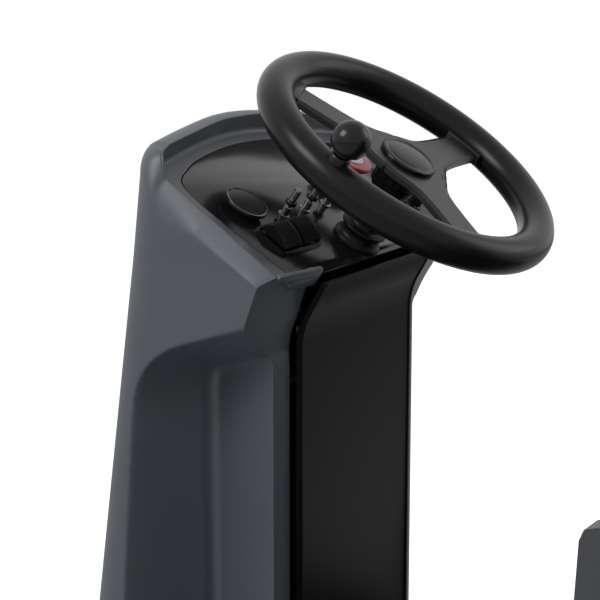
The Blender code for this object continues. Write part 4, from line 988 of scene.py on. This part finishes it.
for side, name in ((1, "left"), (-1, "right")):
    at = Vector(joints[f"side_brush_{name}_spin"]["pos_m"])
    place = Matrix.Translation((at.x, at.y, 0.0))
    disc = [
        (0.030, 0.0500), (0.058, 0.0520), (0.070, 0.0600), (0.0745, 0.0640), (0.0750, 0.0700),
        (0.0745, 0.0780),
    ]
    disc += [
        (0.0725, 0.0810), (0.0690, 0.0820), (0.0300, 0.0820), (0.0270, 0.0840), (0.0260, 0.0880),
        (0.0120, 0.0885),
    ]
    disc += [(0.0120, 0.0917), (0.0, 0.0917)]
    part(
        f"{name}_brush_disc", lathe(disc, place, 64), core_plastic, f"side_brush_{name}", "black_plastic",
        (), 30.0,
    )
    points, faces = [], []
    for ring, (near, far, count) in enumerate(((0.050, 0.132, 40), (0.062, 0.156, 48))):
        for tuft in range(count):
            angle = 2 * math.pi * (tuft + 0.5 * ring) / count
            for _ in range(6):
                lean = angle + chance.uniform(-0.05, 0.05)
                reach = far - chance.uniform(0.0, 0.008)
                root = place @ Vector((near * math.cos(angle), near * math.sin(angle), 0.0560))
                tip = place @ Vector((reach * math.cos(lean), reach * math.sin(lean), 0.0062))
                strand(root, tip, 0.0011, points, faces)
    piece(f"{name}_bristles", points, faces, bristle, f"side_brush_{name}", [f"{name}_brush"])


# ---- Hopper -------------------------------------------------------------------------------------
# The dirt bin slides out behind: a black moulded box with a grey grip across its back.

bin_plastic = moulded("bin plastic", (0.020, 0.021, 0.022), (0.46, 0.56), 800.0, 0.15)
carried(bin_plastic, "hopper_bin", edge=0.002)
carried(gloss_black, "hopper_handle", edge=0.003)


# ---- Rear body, hood and seat mount -------------------------------------------------------------
# The body round the seat is moulded like the console. Its sides rise into low wings beside the
# driver, and the hood that carries the seat swings up on a hinge behind.

body_plastic = moulded("body polyethylene", (0.038, 0.041, 0.046), (0.40, 0.50), 1100.0, 0.10)
carried(body_plastic, "rear_body", edge=0.006)
carried(body_plastic, "hood", edge=0.003)
carried(painted, "hood_hinge", "seat_rails", edge=0.0008)
carried(painted, "seat_pan", edge=0.0015)


# ---- Seat ---------------------------------------------------------------------------------------
# A seat cushion and a backrest of foam under black vinyl, both carried by the seat pan. As made
# here their faces come out flat and their edges creased, where real ones are crowned and smooth.

vinyl = new_material("seat vinyl")[0]
textured(vinyl, (0.016, 0.016, 0.017), (0.011, 0.011, 0.012), (0.42, 0.54), 260.0, 0.35, 5.0, 0.0006)


def cushion(name, low, high, place, body, node, resting):
    """A block of foam under vinyl, swollen as cloth and kept within 12 mm of the block's faces."""
    shape = bmesh.new()
    bmesh.ops.create_cube(shape, size=1.0)
    for vertex in shape.verts:
        vertex.co = Vector((low[k] + (high[k] - low[k]) * (vertex.co[k] + 0.5) for k in range(3)))
    upright = [edge for edge in shape.edges if abs((edge.verts[0].co - edge.verts[1].co)[resting]) > 0.01]
    bmesh.ops.bevel(shape, geom=upright, offset=0.055, segments=6, profile=0.5, affect="EDGES")
    level = [edge for edge in shape.edges if abs((edge.verts[0].co - edge.verts[1].co)[resting]) < 0.001]
    flat = [edge for edge in level if edge.calc_face_angle(0.0) > 1.0]
    bmesh.ops.bevel(shape, geom=flat, offset=0.016, segments=3, profile=0.5, affect="EDGES")
    mesh = bpy.data.meshes.new(name)
    shape.to_mesh(mesh)
    shape.free()
    pad = bpy.data.objects.new(name, mesh)
    bpy.context.scene.collection.objects.link(pad)
    bpy.context.view_layer.objects.active = pad
    grid = pad.modifiers.new("grid", "REMESH")
    grid.mode = "VOXEL"
    grid.voxel_size = 0.006
    graph = bpy.context.evaluated_depsgraph_get()
    mesh = bpy.data.meshes.new_from_object(pad.evaluated_get(graph))
    pad.modifiers.clear()
    pad.data = mesh
    rest = np.array([vertex.co[:] for vertex in mesh.vertices])
    cloth = pad.modifiers.new("padding", "CLOTH")
    cloth.settings.use_pressure = True
    cloth.settings.uniform_pressure_force = 4.0
    cloth.settings.effector_weights.gravity = 0.0
    cloth.settings.quality = 4
    for frame_number in range(1, 21):
        bpy.context.scene.frame_set(frame_number)
    graph = bpy.context.evaluated_depsgraph_get()
    swollen = pad.evaluated_get(graph).to_mesh()
    moved = np.array([vertex.co[:] for vertex in swollen.vertices]) - rest
    pad.modifiers.clear()
    bpy.context.scene.frame_set(1)
    reach = np.linalg.norm(moved, axis=1, keepdims=True)
    moved *= np.minimum(1.0, 0.024 / np.maximum(reach, 1e-9))
    settled = np.clip(rest + moved, np.array(low) - 0.012, np.array(high) + 0.012)
    if resting == 2:
        settled[:, 2] = np.maximum(settled[:, 2], low[2])
    else:
        settled[:, 1] = np.minimum(settled[:, 1], high[1])
    rest = settled
    mesh.vertices.foreach_set("co", np.array([place @ Vector(point) for point in rest]).ravel())
    mesh.update()
    smooth = pad.modifiers.new("finer", "SUBSURF")
    smooth.levels = smooth.render_levels = 1
    mesh.materials.clear()
    mesh.materials.append(vinyl)
    mesh.shade_smooth()
    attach(pad, body)
    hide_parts(node)
    return pad


seat_low, seat_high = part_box("seat_cushion")
cushion(
    "seat_pad", (seat_low.x + 0.012, seat_low.y + 0.012, seat_low.z),
    (seat_high.x - 0.012, seat_high.y - 0.012, seat_high.z - 0.014), Matrix(), "seat", "seat_cushion", 2,
)
lean = Matrix.Rotation(math.radians(-10), 4, "X")
backrest_at = Matrix.Translation((0.0, seat_high.y + 0.020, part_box("seat_pan")[0].z + 0.0055)) @ lean
cushion(
    "back_pad", (-0.218, -0.058, 0.112), (0.218, -0.0004, 0.388), backrest_at, "seat", "backrest", 1,
)


# ---- Under the hood -----------------------------------------------------------------------------
# A black traction battery, a pale filter box and the suction fan on top of it.

battery_case = moulded("battery case", (0.022, 0.022, 0.024), (0.40, 0.50), 700.0, 0.15)
carried(battery_case, "battery", edge=0.002)
carried(pale_grey, "filter_box", edge=0.002)
carried(black_plastic, "suction_fan")
